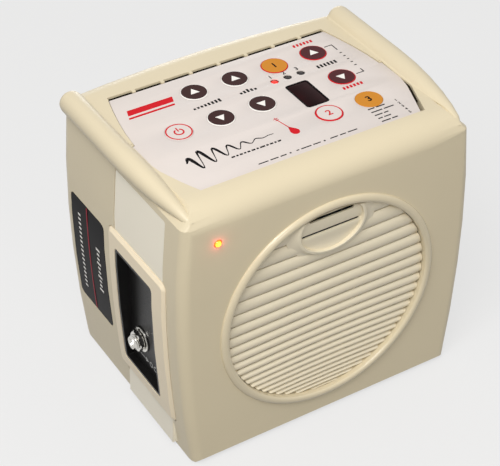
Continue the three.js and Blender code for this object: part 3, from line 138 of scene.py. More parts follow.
floor_reach = 6000
floor_mesh = bpy.data.meshes.new("floor")
floor_corners = [(x * floor_reach * mm, y * floor_reach * mm, 0) for x, y in ((-1, -1), (1, -1), (1, 1), (-1, 1))]
floor_mesh.from_pydata(floor_corners, [], [(0, 1, 2, 3)])
floor = bpy.data.objects.new("floor", floor_mesh)
bpy.context.scene.collection.objects.link(floor)
floor_paint = bpy.data.materials.new("pale_floor_paper")
floor_paint.use_nodes = True
tree = floor_paint.node_tree
tree.nodes.clear()
matt = add(tree, "BsdfDiffuse", Color=(floor_shade, floor_shade, floor_shade, 1))
glow = add(tree, "Emission", Color=linear(backdrop_grey), Strength=floor_glow)
paper = add(tree, "AddShader", [(matt.outputs[0], 0), (glow.outputs[0], 1)])
bounce = add(tree, "BsdfDiffuse", Color=(floor_bounce, floor_bounce, floor_bounce, 1))
both = add(tree, "MixShader", [(seen_itself(tree), 0), (bounce.outputs[0], 1), (paper.outputs[0], 2)])
add(tree, "OutputMaterial", [(both.outputs[0], "Surface")])
floor_mesh.materials.append(floor_paint)


# Case: two shells of beige ABS, injection moulded in a spark-eroded mould. The fine grain breaks up the
# gloss, the colour drifts a little from thick to thin places, and the shells are screwed together from behind.
def new_material(name):
    """A material with an empty node tree, and the output that gives a place on its object."""
    material = bpy.data.materials.new(name)
    material.use_nodes = True
    tree = material.node_tree
    tree.nodes.clear()
    return material, tree, add(tree, "TexCoord").outputs["Object"]


def shaded(hex_colour, share):
    """A colour made lighter or darker by a share."""
    return (*[min(c * share, 1) for c in linear(hex_colour)[:3]], 1)


def moulded_plastic(
        name, hex_colour, grain_mm=0.45, roughness=0.42, grain_depth_mm=0.012, drift=0.035, drift_mm=38, shine=0.5):
    """Moulded plastic: even colour with a slow drift, and a fine grain in its gloss and its surface.

    The grain of a real mould is finer than this. It is drawn coarse enough to show.
    """
    material, tree, place = new_material(name)
    cloud = add(tree, "TexNoise", [(place, "Vector")], Scale=1 / (drift_mm * mm), Detail=3.0)
    grain = add(tree, "TexNoise", [(place, "Vector")], Scale=1 / (grain_mm * mm), Detail=2.0)
    colour = add(
        tree, "MixRGB", [(cloud.outputs["Fac"], 0)],
        Color1=shaded(hex_colour, 1 - drift), Color2=shaded(hex_colour, 1 + drift))
    gloss = add(
        tree, "MapRange", [(grain.outputs["Fac"], "Value")],
        From_Min=0.3, From_Max=0.7, To_Min=roughness - 0.05, To_Max=roughness + 0.06)
    bump = add(tree, "Bump", [(grain.outputs["Fac"], "Height")], Strength=0.6, Distance=grain_depth_mm * mm)
    surface = add(
        tree, "BsdfPrincipled",
        [(colour.outputs[0], "Base Color"), (gloss.outputs[0], "Roughness"), (bump.outputs[0], "Normal")],
        IOR=1.53, Specular_IOR_Level=shine)
    add(tree, "OutputMaterial", [(surface.outputs[0], "Surface")])
    return material


def dress(node, material, crease_degrees=32, weld_mm=0.005):
    """Gives a CAD node its finish, and smooth shading that breaks at its real edges."""
    mesh = nodes[node].data
    mesh.materials.clear()
    mesh.materials.append(material)
    if "custom_normal" in mesh.attributes:
        mesh.attributes.remove(mesh.attributes["custom_normal"])
    mesh.polygons.foreach_set("use_smooth", [True] * len(mesh.polygons))
    nodes[node].modifiers.new("joined_corners", "WELD").merge_threshold = weld_mm * mm
    creases = nodes[node].modifiers.new("creases", "EDGE_SPLIT")
    creases.split_angle, creases.use_edge_sharp = math.radians(crease_degrees), False
    nodes[node].modifiers.new("even_faces", "WEIGHTED_NORMAL").keep_sharp = True


beige_abs = moulded_plastic("beige_moulded_abs", "#ddd0b2")
dress("front_shell", beige_abs)
dress("rear_shell", beige_abs)


# Rails: the two round edges that the case is carried by, moulded with the shells. A hollow fillet runs them into
# the lands beside the keypad, and they sink into the front corners; the parting line is dressed off.
def skin(rings, capped=True):
    """Points and faces of a skin over rings that all have the same count of points."""
    count = len(rings[0])
    points = [point for ring in rings for point in ring]
    faces = []
    for start in range(0, (len(rings) - 1) * count, count):
        for i in range(count):
            j = (i + 1) % count
            faces.append((start + i, start + j, start + count + j, start + count + i))
    if capped:
        faces.append(tuple(reversed(range(count))))
        faces.append(tuple(range(len(points) - count, len(points))))
    return points, faces


def arc(centre, radii, start, end, steps):
    """Points of an elliptical arc between two angles in degrees."""
    angles = [math.radians(start + (end - start) * i / steps) for i in range(steps + 1)]
    return [(centre[0] + radii[0] * math.cos(a), centre[1] + radii[1] * math.sin(a)) for a in angles]


def piece(name, skins, materials, body="root", replaces=(), slot=None, crease_degrees=32, joined_mm=0.0005):
    """One piece from its skins, each (points, faces) or (points, faces, material of a face)."""
    form = bmesh.new()
    for points, faces, *paints in skins:
        corners = [form.verts.new(Vector(point) * mm) for point in points]
        for number, face in enumerate(faces):
            added = form.faces.new([corners[i] for i in face])
            added.material_index = paints[0][number] if paints else 0
    bmesh.ops.remove_doubles(form, verts=form.verts, dist=joined_mm * mm)
    bmesh.ops.dissolve_degenerate(form, edges=form.edges, dist=joined_mm * mm)
    bmesh.ops.recalc_face_normals(form, faces=form.faces)
    mesh = bpy.data.meshes.new(name)
    form.to_mesh(mesh)
    form.free()
    for material in materials:
        mesh.materials.append(material)
    mesh.polygons.foreach_set("use_smooth", [True] * len(mesh.polygons))
    mesh.set_sharp_from_angle(angle=math.radians(crease_degrees))
    made = bpy.data.objects.new(name, mesh)
    bpy.context.scene.collection.objects.link(made)
    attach(made, body)
    if replaces:
        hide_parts(*replaces)
    return made


ring_crest = cad_low[1] / mm
front_face = ring_crest + 1.5
rail_radius, rail_proud, rail_fillet = 4.75, 0.03, 1.0
land_limit, inner_foot, middle_foot = 0.9, 0.3, 0.6       # shares of the radius
rail_x, rail_z, land_z = cad_high[0] / mm - rail_radius, 120.35, 121.2
rail_middle, rail_behind_face, rail_back = 0.425, 1.75, 41.7
rail_front = front_face + rail_behind_face - rail_middle
outer_start = -70       # angle at which a rail's outline leaves the side wall
# place along the rail, then inward shift, drop and radius as shares of the rail's radius
rail_path_shares = [
    (1.008, 0, 0, 0.12), (1.004, 0, 0, 0.42), (0.984, 0, 0, 0.76), (0.955, 0, 0, 0.95), (0.92, 0, 0, 1),
    (0.5, 0, 0, 1), (0, 0, 0, 1), (-0.22, 0.06, 0.03, 1), (-0.43, 0.16, 0.1, 0.93), (-0.63, 0.28, 0.2, 0.78),
    (-0.8, 0.43, 0.28, 0.58), (-0.92, 0.57, 0.44, 0.42), (-1.0, 0.73, 0.7, 0.2)]


def rail_section(x, z, radius, side):
    """Section of a rail with its inner fillet, closed inside the case."""
    above = min(land_z - z, radius * land_limit)
    fillet = rail_fillet * radius / rail_radius
    reach = math.sqrt((radius + fillet) ** 2 - (above + fillet) ** 2)
    tangent = math.degrees(math.atan2(above + fillet, -reach))
    round_part = arc((0, 0), (radius, radius), outer_start, tangent, 22)
    hollow = arc((-reach, above + fillet), (fillet, fillet), tangent - 180, -90, 5)[1:]
    outline = [*round_part, *hollow, (-reach, above - radius * inner_foot), (0, -radius * middle_foot)]
    return [(side * (x + u), z + v) for u, v in outline]


for name, side in (("left_rail", -1), ("right_rail", 1)):
    rings = []
    for along, inward, drop, size in rail_path_shares:
        y = rail_middle + (along * rail_back if along > 0 else -along * rail_front)
        section = rail_section(
            rail_x - inward * rail_radius, rail_z - drop * rail_radius, size * rail_radius + rail_proud, side)
        rings.append([(x, y, z) for x, z in section])
    piece(name, [skin(rings)], [beige_abs], slot="case_rear")


# Joint between the shells: a tongue along the rear shell stands in a groove of the front one, deep in the
# parting line, so that no light passes.
def box_mm(node):
    """Lowest and highest corner of a CAD node, in millimetres."""
    low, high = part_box(node)
    return Vector(low) / mm, Vector(high) / mm


belly_half_width, base_half_width, top_half_width = 65.1, 60.7, 62.4
belly_height, barrel_top = 70, 115.5


def side_surface(z):
    """Place of the barrelled left side of the case at this height, left of the middle plane."""
    below = z < belly_height
    narrow, span = (base_half_width, belly_height) if below else (top_half_width, barrel_top - belly_height)
    return -(belly_half_width - (belly_half_width - narrow) * ((z - belly_height) / span) ** 2)


tongue_sunk, tongue_height, tongue_half_width, tongue_top, tongue_step = 0.9, 1.0, 0.5, 116, 5
case_base = box_mm("rear_shell")[0].z
parting_y = (box_mm("front_shell")[1].y + box_mm("rear_shell")[0].y) / 2
tongue_path = [
    (side_surface(z) + tongue_sunk, z) for z in range(tongue_top, int(case_base) + 1, -tongue_step)]
tongue_path.append((side_surface(case_base) + 2 * tongue_sunk, case_base + tongue_sunk / 2))
tongue_path += [(-x, z) for x, z in reversed(tongue_path)]
tongue = []
for i, (x, z) in enumerate(tongue_path):
    before, after = tongue_path[max(i - 1, 0)], tongue_path[min(i + 1, len(tongue_path) - 1)]
    inward = Vector((-(after[1] - before[1]), after[0] - before[0])).normalized() * tongue_height
    tongue.append([
        (x, parting_y - tongue_half_width, z), (x, parting_y + tongue_half_width, z),
        (x + inward.x, parting_y + tongue_half_width, z + inward.y),
        (x + inward.x, parting_y - tongue_half_width, z + inward.y)])
piece("shell_tongue", [skin(tongue)], [beige_abs], slot="case_rear")


# Ring round the grille: a rounded bead on the front shell, polished in the mould, so it carries a soft streak of
# the light. It is turned with a rounder section and more sides than the solid under it, and holds the louvres.
def turned(profile, axis, centre, sides=64):
    """A skin turned about an axis from a profile of (radius, place along it); closed if it leaves the axis free."""
    rings = []
    for radius, along in profile:
        angles = [2 * math.pi * i / sides for i in range(sides)]
        flat = [(radius * math.cos(a), radius * math.sin(a)) for a in angles]
        places = {
            "x": [(along, u, v) for u, v in flat], "y": [(u, along, v) for u, v in flat],
            "z": [(u, v, along) for u, v in flat]}[axis]
        rings.append([tuple(Vector(place) + Vector(centre)) for place in places])
    if profile[0][0] > 0:
        rings.append(rings[0])
    return skin(rings, capped=False)


ring_inner, ring_outer, ring_middle, ring_sides = 44.92, 48.37, 46.3, 168
louvre_low, louvre_high = box_mm("speaker_grille")
grille_z = (louvre_low.z + louvre_high.z) / 2
grille_centre = (0, 0, grille_z)
inner_rise, bead_root = 0.95, 1.4
bead = [
    (ring_inner, front_face + bead_root), *arc(
        (ring_middle, ring_crest + inner_rise), (ring_middle - ring_inner, -inner_rise), 180, 90, 8),
    *arc((ring_middle, front_face), (ring_outer - ring_middle, ring_crest - front_face), 90, 0, 12)[1:],
    (ring_outer, front_face + bead_root)]
polished_abs = moulded_plastic("polished_beige_abs", "#ddd0b2", roughness=0.2, grain_depth_mm=0.003)
piece("grille_ring", [turned(bead, "y", grille_centre, ring_sides)], [polished_abs], slot="case_front")


# Louvres: one moulding of beige ABS behind the ring. Rounded slats get lower and closer towards the bottom, their
# ends hang a little and fall back to the ring, and ribs behind tie them together. They are moulded against smoother
# steel than the case, so each slat shows a line of light along its crown. Their beige is painted lighter than the
# case's, as painted light on the slats.
louvre_radius = (louvre_high.x - louvre_low.x) / 2
louvre_front, louvre_back = front_face + 0.4, front_face + 2.6
louvre_bulge, louvre_gap = 0.95, 0.6
end_pinch, pinch_from = 0.3, 0.955      # the slats taper where they run into the ring
first_gap, gap_ratio, gap_vanish = grille_z + 41.35, 0.9405, grille_z - 76.2
louvre_count, louvre_columns = 21, 48
droop_from, droop_to, end_droop = 75, 36, 2.2
dome_depth, dome_power = 0.45, 5
lower_lip, crown_share, face_rows, face_power = 0.28, 0.45, 10, 2.3


def gap_line(i):
    """Height of the gap under louvre i."""
    return gap_vanish + (first_gap - gap_vanish) * gap_ratio ** i


def hang(x, z):
    """How far a louvre hangs below its own middle at a place across the grille."""
    ramp = min(max((droop_from - z) / (droop_from - droop_to), 0), 1)
    return end_droop * ramp * (x / louvre_radius) ** 2


def set_back(x, z):
    """How far the domed grille falls back towards the ring."""
    share = min(math.hypot(x, z - grille_z) / louvre_radius, 1)
    return dome_depth * share ** dome_power


def half_chord(z):
    """Half the length of a louvre's line at this height, where its hanging end meets the rim."""
    x = 0
    for _ in range(8):
        rise = z - hang(x, z) - grille_z
        x = math.sqrt(max(louvre_radius ** 2 - rise ** 2, 0))
    return x


def louvre(low, high):
    """A slat between two heights: a rounded front, widest at its crown, and a flat back."""
    section = []
    for row in range(face_rows + 1):
        up = row / face_rows
        lean = (up - crown_share) / (1 - crown_share if up > crown_share else crown_share)
        fall = abs(lean) ** face_power
        section.append((up, fall * (1 if up > crown_share else 1 - lower_lip)))
    rings = []
    for column in range(louvre_columns + 1):
        across = math.sin((column / louvre_columns - 0.5) * math.pi)
        taper = end_pinch * max(abs(across) - pinch_from, 0) / (1 - pinch_from)
        ring = []
        for up, fall in section:
            z = low + taper + up * (high - low - 2 * taper)
            x = across * half_chord(z)
            lowered = z - hang(x, z)
            ring.append((x, louvre_front + louvre_bulge * fall + set_back(x, lowered), lowered))
        ring.append((ring[-1][0], louvre_back, ring[-1][2]))
        ring.append((ring[0][0], louvre_back, ring[0][2]))
        rings.append(ring)
    return skin(rings)


def carved(name, skins, cutters, materials, **options):
    """A piece with the cutters' solids taken out of it."""
    made = piece(name, skins, materials, **options)
    for cutter in cutters:
        tool = piece(f"{name}_cut", [cutter], [])
        change = made.modifiers.new("cut", "BOOLEAN")
        change.operation, change.solver, change.object = "DIFFERENCE", "EXACT", tool
        bpy.context.view_layer.update()
        shaped = bpy.data.meshes.new_from_object(made.evaluated_get(bpy.context.evaluated_depsgraph_get()))
        made.modifiers.remove(change)
        made.data = shaped
        bpy.data.objects.remove(tool)
    made.data.set_sharp_from_angle(angle=math.radians(options.get("crease_degrees", 32)))
    return made


def oval(reach_across, reach_up, y, sides=96, power=1.0):
    """Points round the oval field, grown across and upwards, kept inside the ring."""
    points = []
    for i in range(sides):
        angle = 2 * math.pi * i / sides
        grow = reach_up + (reach_across - reach_up) * abs(math.cos(angle)) ** power
        x = (oval_half_width + grow) * math.cos(angle)
        z = oval_z - grille_z + (oval_half_height + grow) * math.sin(angle)
        far = max(math.hypot(x, z) / (louvre_radius - oval_clear), 1)
        points.append((x / far, y, grille_z + z / far))
    return points


oval_half_width, oval_half_height, oval_z = 15.2, 11.6, grille_z + 36.8
oval_clear, rim_clear, cut_past, cut_wider = 0.3, 0.2, 5, 0.2
oval_crest = front_face - 0.75
oval_floor, collar_foot = oval_crest + 1.05, oval_crest + 1.85
rim_width, rim_edge = 1.25, 0.2
flare_across, flare_down, flare_steps, flare_power = 4.4, 1.3, 8, 2.2
flare_from, flare_to = oval_crest + 0.12, louvre_front + 0.47
lowest_slat, highest_slat = grille_z - louvre_radius + rim_clear, grille_z + louvre_radius - rim_clear
slats = []
for i in range(louvre_count + 2):
    low = max(gap_line(i) + louvre_gap / 2, lowest_slat)
    slats.append(louvre(low, min(gap_line(i - 1) - louvre_gap / 2, highest_slat)))
field_cut = skin([oval(cut_wider, cut_wider, y) for y in (louvre_front - cut_past, louvre_back + cut_past)])
# the grille's colour is the case's beige painted lighter, standing in for light on the slats
grille_abs_painted_light = moulded_plastic("grille_abs_with_painted_light", "#e9dec4", roughness=0.2, grain_depth_mm=0.003)
carved("louvres", slats, [field_cut], [grille_abs_painted_light], replaces=["speaker_grille"], slot="grille")

flare = []
for step in range(flare_steps + 1):
    share = step / flare_steps
    y = flare_from + (flare_to - flare_from) * (1 - (1 - share) ** flare_power)
    flare.append(oval(flare_across * share, flare_down * share, y, power=3))
collar = skin([
    oval(-rim_width, -rim_width, collar_foot), oval(-rim_width, -rim_width, oval_crest + rim_edge),
    oval(-rim_width + rim_edge, -rim_width + rim_edge, oval_crest), oval(-rim_edge, -rim_edge, oval_crest),
    *flare, oval(flare_across, flare_down, louvre_back, power=3),
    oval(-rim_width, -rim_width, louvre_back), oval(-rim_width, -rim_width, collar_foot)], capped=False)
piece("oval_collar", [collar], [grille_abs_painted_light], slot="grille")

# The field inside the collar swells gently above and below its slot. It is a thin wall, cut through at both slots
field_steps, field_thickness, field_across, field_up = 26, 0.7, 0.93, 0.95
slots = ((12.2, oval_z - 1.4, 1.15), (9.2, grille_z + 41.9, 1.5))      # half length, height on the grille, width
slot_z, field_foot, field_crown = slots[0][1], 11.5, 4.1
crown_swell, lip_swell, lip_fade, foot_swell = 0.6, 0.55, 0.9, 0.25


def field_depth(z):
    """How far the oval field stands behind its foremost place at this height."""
    if z > slot_z:
        return crown_swell * ((z - slot_z - field_crown) / field_crown) ** 2
    below = slot_z - z
    return lip_swell * math.exp(-below / lip_fade) + foot_swell * (1 - math.cos(below / field_foot * 2 * math.pi))


field_rings = []
for step in range(field_steps + 1):
    share = 1 - step / field_steps
    ring = oval(0, 0, 0)
    shrunk = [(x * share * field_across, oval_z + (z - oval_z) * share * field_up) for x, _, z in ring]
    field_rings.append([(x, oval_floor + field_depth(z), z) for x, z in shrunk])
back_rings = [[(x, y + field_thickness, z) for x, y, z in ring] for ring in reversed(field_rings)]


def slot_bar(half, z, width):
    """A round-ended bar that cuts a slot through the field."""
    ends = [*arc((half, z), (width / 2, width / 2), -90, 90, 6),
            *arc((-half, z), (width / 2, width / 2), 90, 270, 6)]
    return skin([[(x, y, v) for x, v in ends] for y in (front_face - cut_past, louvre_back + cut_past)])


carved(
    "oval_field", [skin([*back_rings, *field_rings], capped=False)], [slot_bar(*slot) for slot in slots],
    [grille_abs_painted_light], slot="grille")

# Ribs behind the louvres, and the rim that is welded into the ring
rib_half_width, rib_front, rib_back = 0.6, louvre_back - 1.1, louvre_back + 0.4
rib_top, rib_step = grille_z + 24.8, 8
left_rib, left_lean, right_rib, right_lean = -14.5, 0.30, 17.5, -0.2
rim_depth, rim_thickness = 0.7, 0.35
ribs = []
for x_top, lean in ((left_rib, left_lean), (right_rib, right_lean)):
    rings = []
    for z in [rib_top - i * rib_step for i in range(8)]:
        x = x_top + (rib_top - z) * lean
        rings.append([
            (x - rib_half_width, rib_front, z), (x + rib_half_width, rib_front, z),
            (x + rib_half_width, rib_back, z), (x - rib_half_width, rib_back, z)])
    ribs.append(skin(rings))
rim_profile = [
    (louvre_radius - rim_depth, louvre_back - rim_thickness), (louvre_radius, louvre_back - rim_thickness),
    (louvre_radius, louvre_back), (louvre_radius - rim_depth, louvre_back)]
piece("louvre_ribs", [*ribs, turned(rim_profile, "y", grille_centre, 120)], [grille_abs_painted_light], slot="grille")


# Power light: a clear red lens pushed through the front wall, lit from behind, so its middle burns through to
# yellow and its edge and the plastic round it glow red.
light_low, light_high = box_mm("power_led")
light_x, light_z = (light_low.x + light_high.x) / 2, (light_low.z + light_high.z) / 2
lens_radius, lens_flange, lens_tip, lens_end = 1.45, 1.9, light_low.y, light_high.y
flange_front, flange_back = front_face + 2.9, front_face + 3.8
flame_core, flame_edge = 1.0, 2.1       # distances from the lens's tip
lit_lens, tree, place = new_material("lit_red_lens")
apart = add(tree, "VectorMath", [(place, 0)], operation="SUBTRACT")
apart.inputs[1].default_value = (light_x * mm, lens_tip * mm, light_z * mm)
distance = add(tree, "VectorMath", [(apart.outputs[0], 0)], operation="LENGTH")
glow = add(
    tree, "MapRange", [(distance.outputs["Value"], "Value")],
    From_Min=flame_core * mm, From_Max=flame_edge * mm, To_Min=0.0, To_Max=1.0)
flame = add(tree, "ValToRGB", [(glow.outputs[0], "Fac")])
flame.color_ramp.elements[0].color = linear("#ffe23c")
flame.color_ramp.elements[1].color = linear("#ff2a1c")
flame.color_ramp.elements.new(0.45).color = linear("#ff9a24")
lens = add(
    tree, "BsdfPrincipled", [(flame.outputs[0], "Emission Color")],
    Base_Color=linear("#c0241c"), Roughness=0.12, IOR=1.54, Emission_Strength=1.6)
add(tree, "OutputMaterial", [(lens.outputs[0], "Surface")])
lens_profile = [
    (0, lens_end), (lens_radius, lens_end), (lens_flange, flange_back), (lens_flange, flange_front),
    (lens_radius, flange_front), *arc((0, lens_tip + lens_radius), (lens_radius, -lens_radius), 0, 90, 10)[:-1],
    (0, lens_tip)]
piece(
    "front_light", [turned(lens_profile, "y", (light_x, 0, light_z), 32)], [lit_lens], replaces=["power_led"],
    slot="led_lit")

# Light that the lens throws on the case
halo_watts, halo_radius, halo_before_lens = 0.0003, 0.4, 0.5
halo = bpy.data.objects.new("lens_halo", bpy.data.lights.new("lens_halo", "POINT"))
halo.data.energy = halo_watts
halo.data.color = (1.0, 0.07, 0.08)
halo.data.shadow_soft_size = halo_radius * mm
halo.location = Vector((light_x, lens_tip - halo_before_lens, light_z)) * mm
bpy.context.scene.collection.objects.link(halo)


# Keypad film: polycarbonate, printed from behind and lightly textured on top, stuck into a recess between the
# rails. It is die-cut, so its edge is square with only a slight round, and the keys show through round holes.
def plate(outlines, low, high, edge=0.0):
    """A flat plate lying in X and Y: the first outline less the others, its edges slightly rounded."""
    curve = bpy.data.curves.new("plate", "CURVE")
    curve.dimensions, curve.fill_mode = "2D", "BOTH"
    curve.extrude, curve.bevel_depth, curve.offset = (high - low) / 2 - edge, edge, -edge
    curve.bevel_resolution = 1
    for outline in outlines:
        spline = curve.splines.new("POLY")
        spline.points.add(len(outline) - 1)
        for point, (x, y) in zip(spline.points, outline):
            point.co = (x, y, 0, 1)
        spline.use_cyclic_u = True
    return filled(curve, (low + high) / 2)


def filled(curve, height):
    """Points and faces of a filled curve, moved to a height."""
    holder = bpy.data.objects.new(curve.name, curve)
    bpy.context.scene.collection.objects.link(holder)
    bpy.context.view_layer.update()
    mesh = bpy.data.meshes.new_from_object(holder.evaluated_get(bpy.context.evaluated_depsgraph_get()))
    points = [(*vertex.co.xy, vertex.co.z + height) for vertex in mesh.vertices]
    faces = [tuple(face.vertices) for face in mesh.polygons]
    bpy.data.objects.remove(holder)
    return points, faces


def circle(centre, radius, sides=64):
    """Points round a circle."""
    return arc(centre, (radius, radius), 0, 360 - 360 / sides, sides - 1)


def rounded(low, high, radius, steps=6):
    """A rectangle with round corners between two corners."""
    (x0, y0), (x1, y1) = low, high
    return [
        *arc((x1 - radius, y1 - radius), (radius, radius), 0, 90, steps),
        *arc((x0 + radius, y1 - radius), (radius, radius), 90, 180, steps),
        *arc((x0 + radius, y0 + radius), (radius, radius), 180, 270, steps),
        *arc((x1 - radius, y0 + radius), (radius, radius), 270, 360, steps)]


def printed_film(
        name, hex_colour, roughness=0.36, texture_mm=0.3, texture_depth_mm=0.006, drift=0.02, drift_mm=9,
        shine=0.12):
    """Polycarbonate film with ink behind it: even colour, and a velvet surface that keeps its shine soft.

    Real velvet is finer than this. It is drawn coarse enough to show.
    """
    material, tree, place = new_material(name)
    ink = add(tree, "TexNoise", [(place, "Vector")], Scale=1 / (drift_mm * mm), Detail=2.0)
    velvet = add(tree, "TexVoronoi", [(place, "Vector")], Scale=1 / (texture_mm * mm))
    colour = add(
        tree, "MixRGB", [(ink.outputs["Fac"], 0)],
        Color1=shaded(hex_colour, 1 - drift), Color2=shaded(hex_colour, 1 + drift))
    bump = add(
        tree, "Bump", [(velvet.outputs["Distance"], "Height")], Strength=0.5, Distance=texture_depth_mm * mm)
    surface = add(
        tree, "BsdfPrincipled", [(colour.outputs[0], "Base Color"), (bump.outputs[0], "Normal")],
        Roughness=roughness, IOR=1.58, Specular_IOR_Level=shine)
    add(tree, "OutputMaterial", [(surface.outputs[0], "Surface")])
    return material


film_low, film_high = box_mm("keypad_overlay")
film_bottom, film_top = film_low.z, film_high.z
film_half_width = film_high.x
film_middle, film_half_depth = (film_low.y + film_high.y) / 2, (film_high.y - film_low.y) / 2
# the right-hand edge from back to front, as shares of the film's half width and half depth
film_edge_shares = [
    (0.881, 1), (0.915, 0.781), (0.946, 0.547), (0.969, 0.313), (0.982, 0.08), (1, 0.08),
    (1, -0.287), (0.978, -0.477), (0.915, -0.769), (0.863, -1)]
film_edge = [(x * film_half_width, film_middle + y * film_half_depth) for x, y in film_edge_shares]
right_edge = film_edge[::-1]
film_outline = [*right_edge, *[(-x, y) for x, y in reversed(right_edge)]]


def centre_of(node):
    """Middle of a CAD node seen from above."""
    low, high = box_mm(node)
    return (low.x + high.x) / 2, (low.y + high.y) / 2


key_places = {name: centre_of(name) for name in (
    "key_power", "key_volume_up", "key_volume_down", "key_tone_up", "key_tone_down", "key_note", "key_pitch_up",
    "key_pitch_down", "key_memory", "key_mode")}
column_pitch = key_places["key_note"][0]
key_hole, lamp_hole, window_clear, window_corner = 5.5, 1.7, 0.25, 1.0
lamp_places = [centre_of(f"note_led_{number}") for number in (1, 2, 3)]
window_box = box_mm("display_window")
window_low = (window_box[0].x - window_clear, window_box[0].y - window_clear)
window_high = (window_box[1].x + window_clear, window_box[1].y + window_clear)
white_film = printed_film("white_printed_film", "#ddd4cf", shine=0.3)
holes = [
    *[circle(place, key_hole) for place in key_places.values()],
    *[circle(place, lamp_hole, 32) for place in lamp_places], rounded(window_low, window_high, window_corner)]
piece(
    "film", [plate([film_outline, *holes], film_bottom, film_top, 0.07)], [white_film], replaces=["keypad_overlay"],
    slot="film")


# Painted shade: strips of dark brown sheet under the case top, behind the vents and under the slit beside the
# film's front right corner. They paint the shade in those openings dark brown.
shade_sheet_sunk, shade_sheet_thickness, shade_sheet_clear, vent_reach, slit_clear, slit_reach = 0.5, 0.3, 0.06, 1.72, 0.05, 1.15
shade_sheet_top = film_top - shade_sheet_sunk
vent_half, vent_corner = film_edge[0][0] - 0.3, 0.2
slit_edge = film_edge[6:9]
# dark brown sheet that paints the shade seen in the vents and the slit
painted_vent_shade = printed_film("brown_painted_vent_shade", "#1e170f", roughness=0.9, texture_depth_mm=0.05, shine=0.05)
strips = (
    rounded((-vent_half, film_high.y + shade_sheet_clear), (vent_half, film_high.y + vent_reach), vent_corner),
    [*[(x + slit_clear, y) for x, y in slit_edge], *[(x + slit_reach, y) for x, y in reversed(slit_edge)]])
piece("painted_vent_shade", [plate([strip], shade_sheet_top - shade_sheet_thickness, shade_sheet_top) for strip in strips], [painted_vent_shade])


# Printing on the film: numbers, rules, bars and ticks in black, red and white screen ink, each a thin layer. The
# ink is a little glossier than the film under it.
ink_low, ink_high = -0.02, 0.025


def stroke(points, widths):
    """Outline of a line drawn through points with a width at each."""
    left, right = [], []
    for i, (x, y) in enumerate(points):
        before, after = points[max(i - 1, 0)], points[min(i + 1, len(points) - 1)]
        along = Vector((after[0] - before[0], after[1] - before[1])).normalized()
        side = Vector((-along.y, along.x)) * widths[i] / 2
        left.append((x + side.x, y + side.y))
        right.append((x - side.x, y - side.y))
    return [*left, *reversed(right)]


def bar(x, y, width, height, slant=0.0):
    """A bar with its lower left corner at a place, leaning right by slant."""
    return [(x, y), (x + width, y), (x + width + slant, y + height), (x + slant, y + height)]


def numeral(text, size, centre):
    """A number in a plain face, centred on a place in X and Y."""
    curve = bpy.data.curves.new("number", "FONT")
    curve.body, curve.size, curve.extrude, curve.offset = text, size, (ink_high - ink_low) / 2, size * 0.022
    curve.align_x, curve.align_y, curve.resolution_u = "CENTER", "CENTER", 3
    points, faces = filled(curve, 0)
    return [(x + centre[0], y + centre[1], z) for x, y, z in points], faces


print_y = film_high.y - 31.5    # the print is set out from this line across the film


def inked(outlines, top):
    """A thin layer of ink on a surface at this height."""
    return plate(outlines, top + ink_low, top + ink_high)


def printed(outlines):
    """Ink on the film, from outlines set out from the print's own line."""
    return [inked([[(x, y + print_y) for x, y in outline]], film_top) for outline in outlines]


def dashes(x, y, lengths, gap, thickness, slant):
    """A row of bars that runs to the right from a place."""
    row = []
    for length in lengths:
        row.append(bar(x, y, length, thickness, slant))
        x += length + gap
    return row


def raised(skin_of_text, top):
    """A number's skin lifted on to a surface at this height."""
    points, faces = skin_of_text
    return [(x, y, z + top + (ink_low + ink_high) / 2) for x, y, z in points], faces


black_ink = printed_film("black_screen_ink", "#100e10", roughness=0.3, shine=0.03)
red_ink = printed_film("red_screen_ink", "#cf1a25", roughness=0.3, shine=0.05)
white_ink = printed_film("white_screen_ink", "#f6f3ee", roughness=0.3)

# Ticks under the volume, tone and pitch columns of keys, and red ones past the pitch keys
tick_width, tick_pitch, tick_row, tick_tall = 0.95, 1.6, 9.1, 2.2
red_tick_width, red_tick_tall, red_tick_rows, red_tick_slant = 1.0, 1.8, (27.1, -8.8), 0.2


def tick_places(column_x, count, width):
    """Left edges of a row of ticks centred on a column of keys."""
    return [column_x + (i - (count - 1) / 2) * tick_pitch - width / 2 for i in range(count)]


black_marks = []
for column_x, count, tall in (
        (-column_pitch, 8, lambda share: 0.45 + 0.55 * share), (0, 5, lambda share: 1 - 0.45 * abs(2 * share - 1)),
        (2 * column_pitch, 6, lambda share: 1)):
    for i, x in enumerate(tick_places(column_x, count, tick_width)):
        black_marks.append(bar(x, tick_row, tick_width, tick_tall * tall(i / (count - 1))))
red_marks = [
    bar(x, y, red_tick_width, red_tick_tall, red_tick_slant)
    for y in red_tick_rows for x in tick_places(2 * column_pitch, 6, red_tick_width)]

# The bracket that joins the two pitch keys, dashed along its middle
bracket_x, bracket_reach, bracket_top, bracket_bottom, rule = 45.8, 3.3, 21, -1.8, 0.45
upper_leg, lower_leg, leg_dashes, leg_dash, dash_out = 4, 2.6, (14.2, 11.6, 9.0, 6.4, 3.8), (1.1, 0.5), 0.4
black_marks += [
    bar(bracket_x - bracket_reach, bracket_top, bracket_reach, rule),
    bar(bracket_x, bracket_top - upper_leg, rule, upper_leg + rule),
    bar(bracket_x - bracket_reach, bracket_bottom, bracket_reach, rule),
    bar(bracket_x, bracket_bottom, rule, lower_leg), *[bar(bracket_x - dash_out, y, *leg_dash) for y in leg_dashes]]

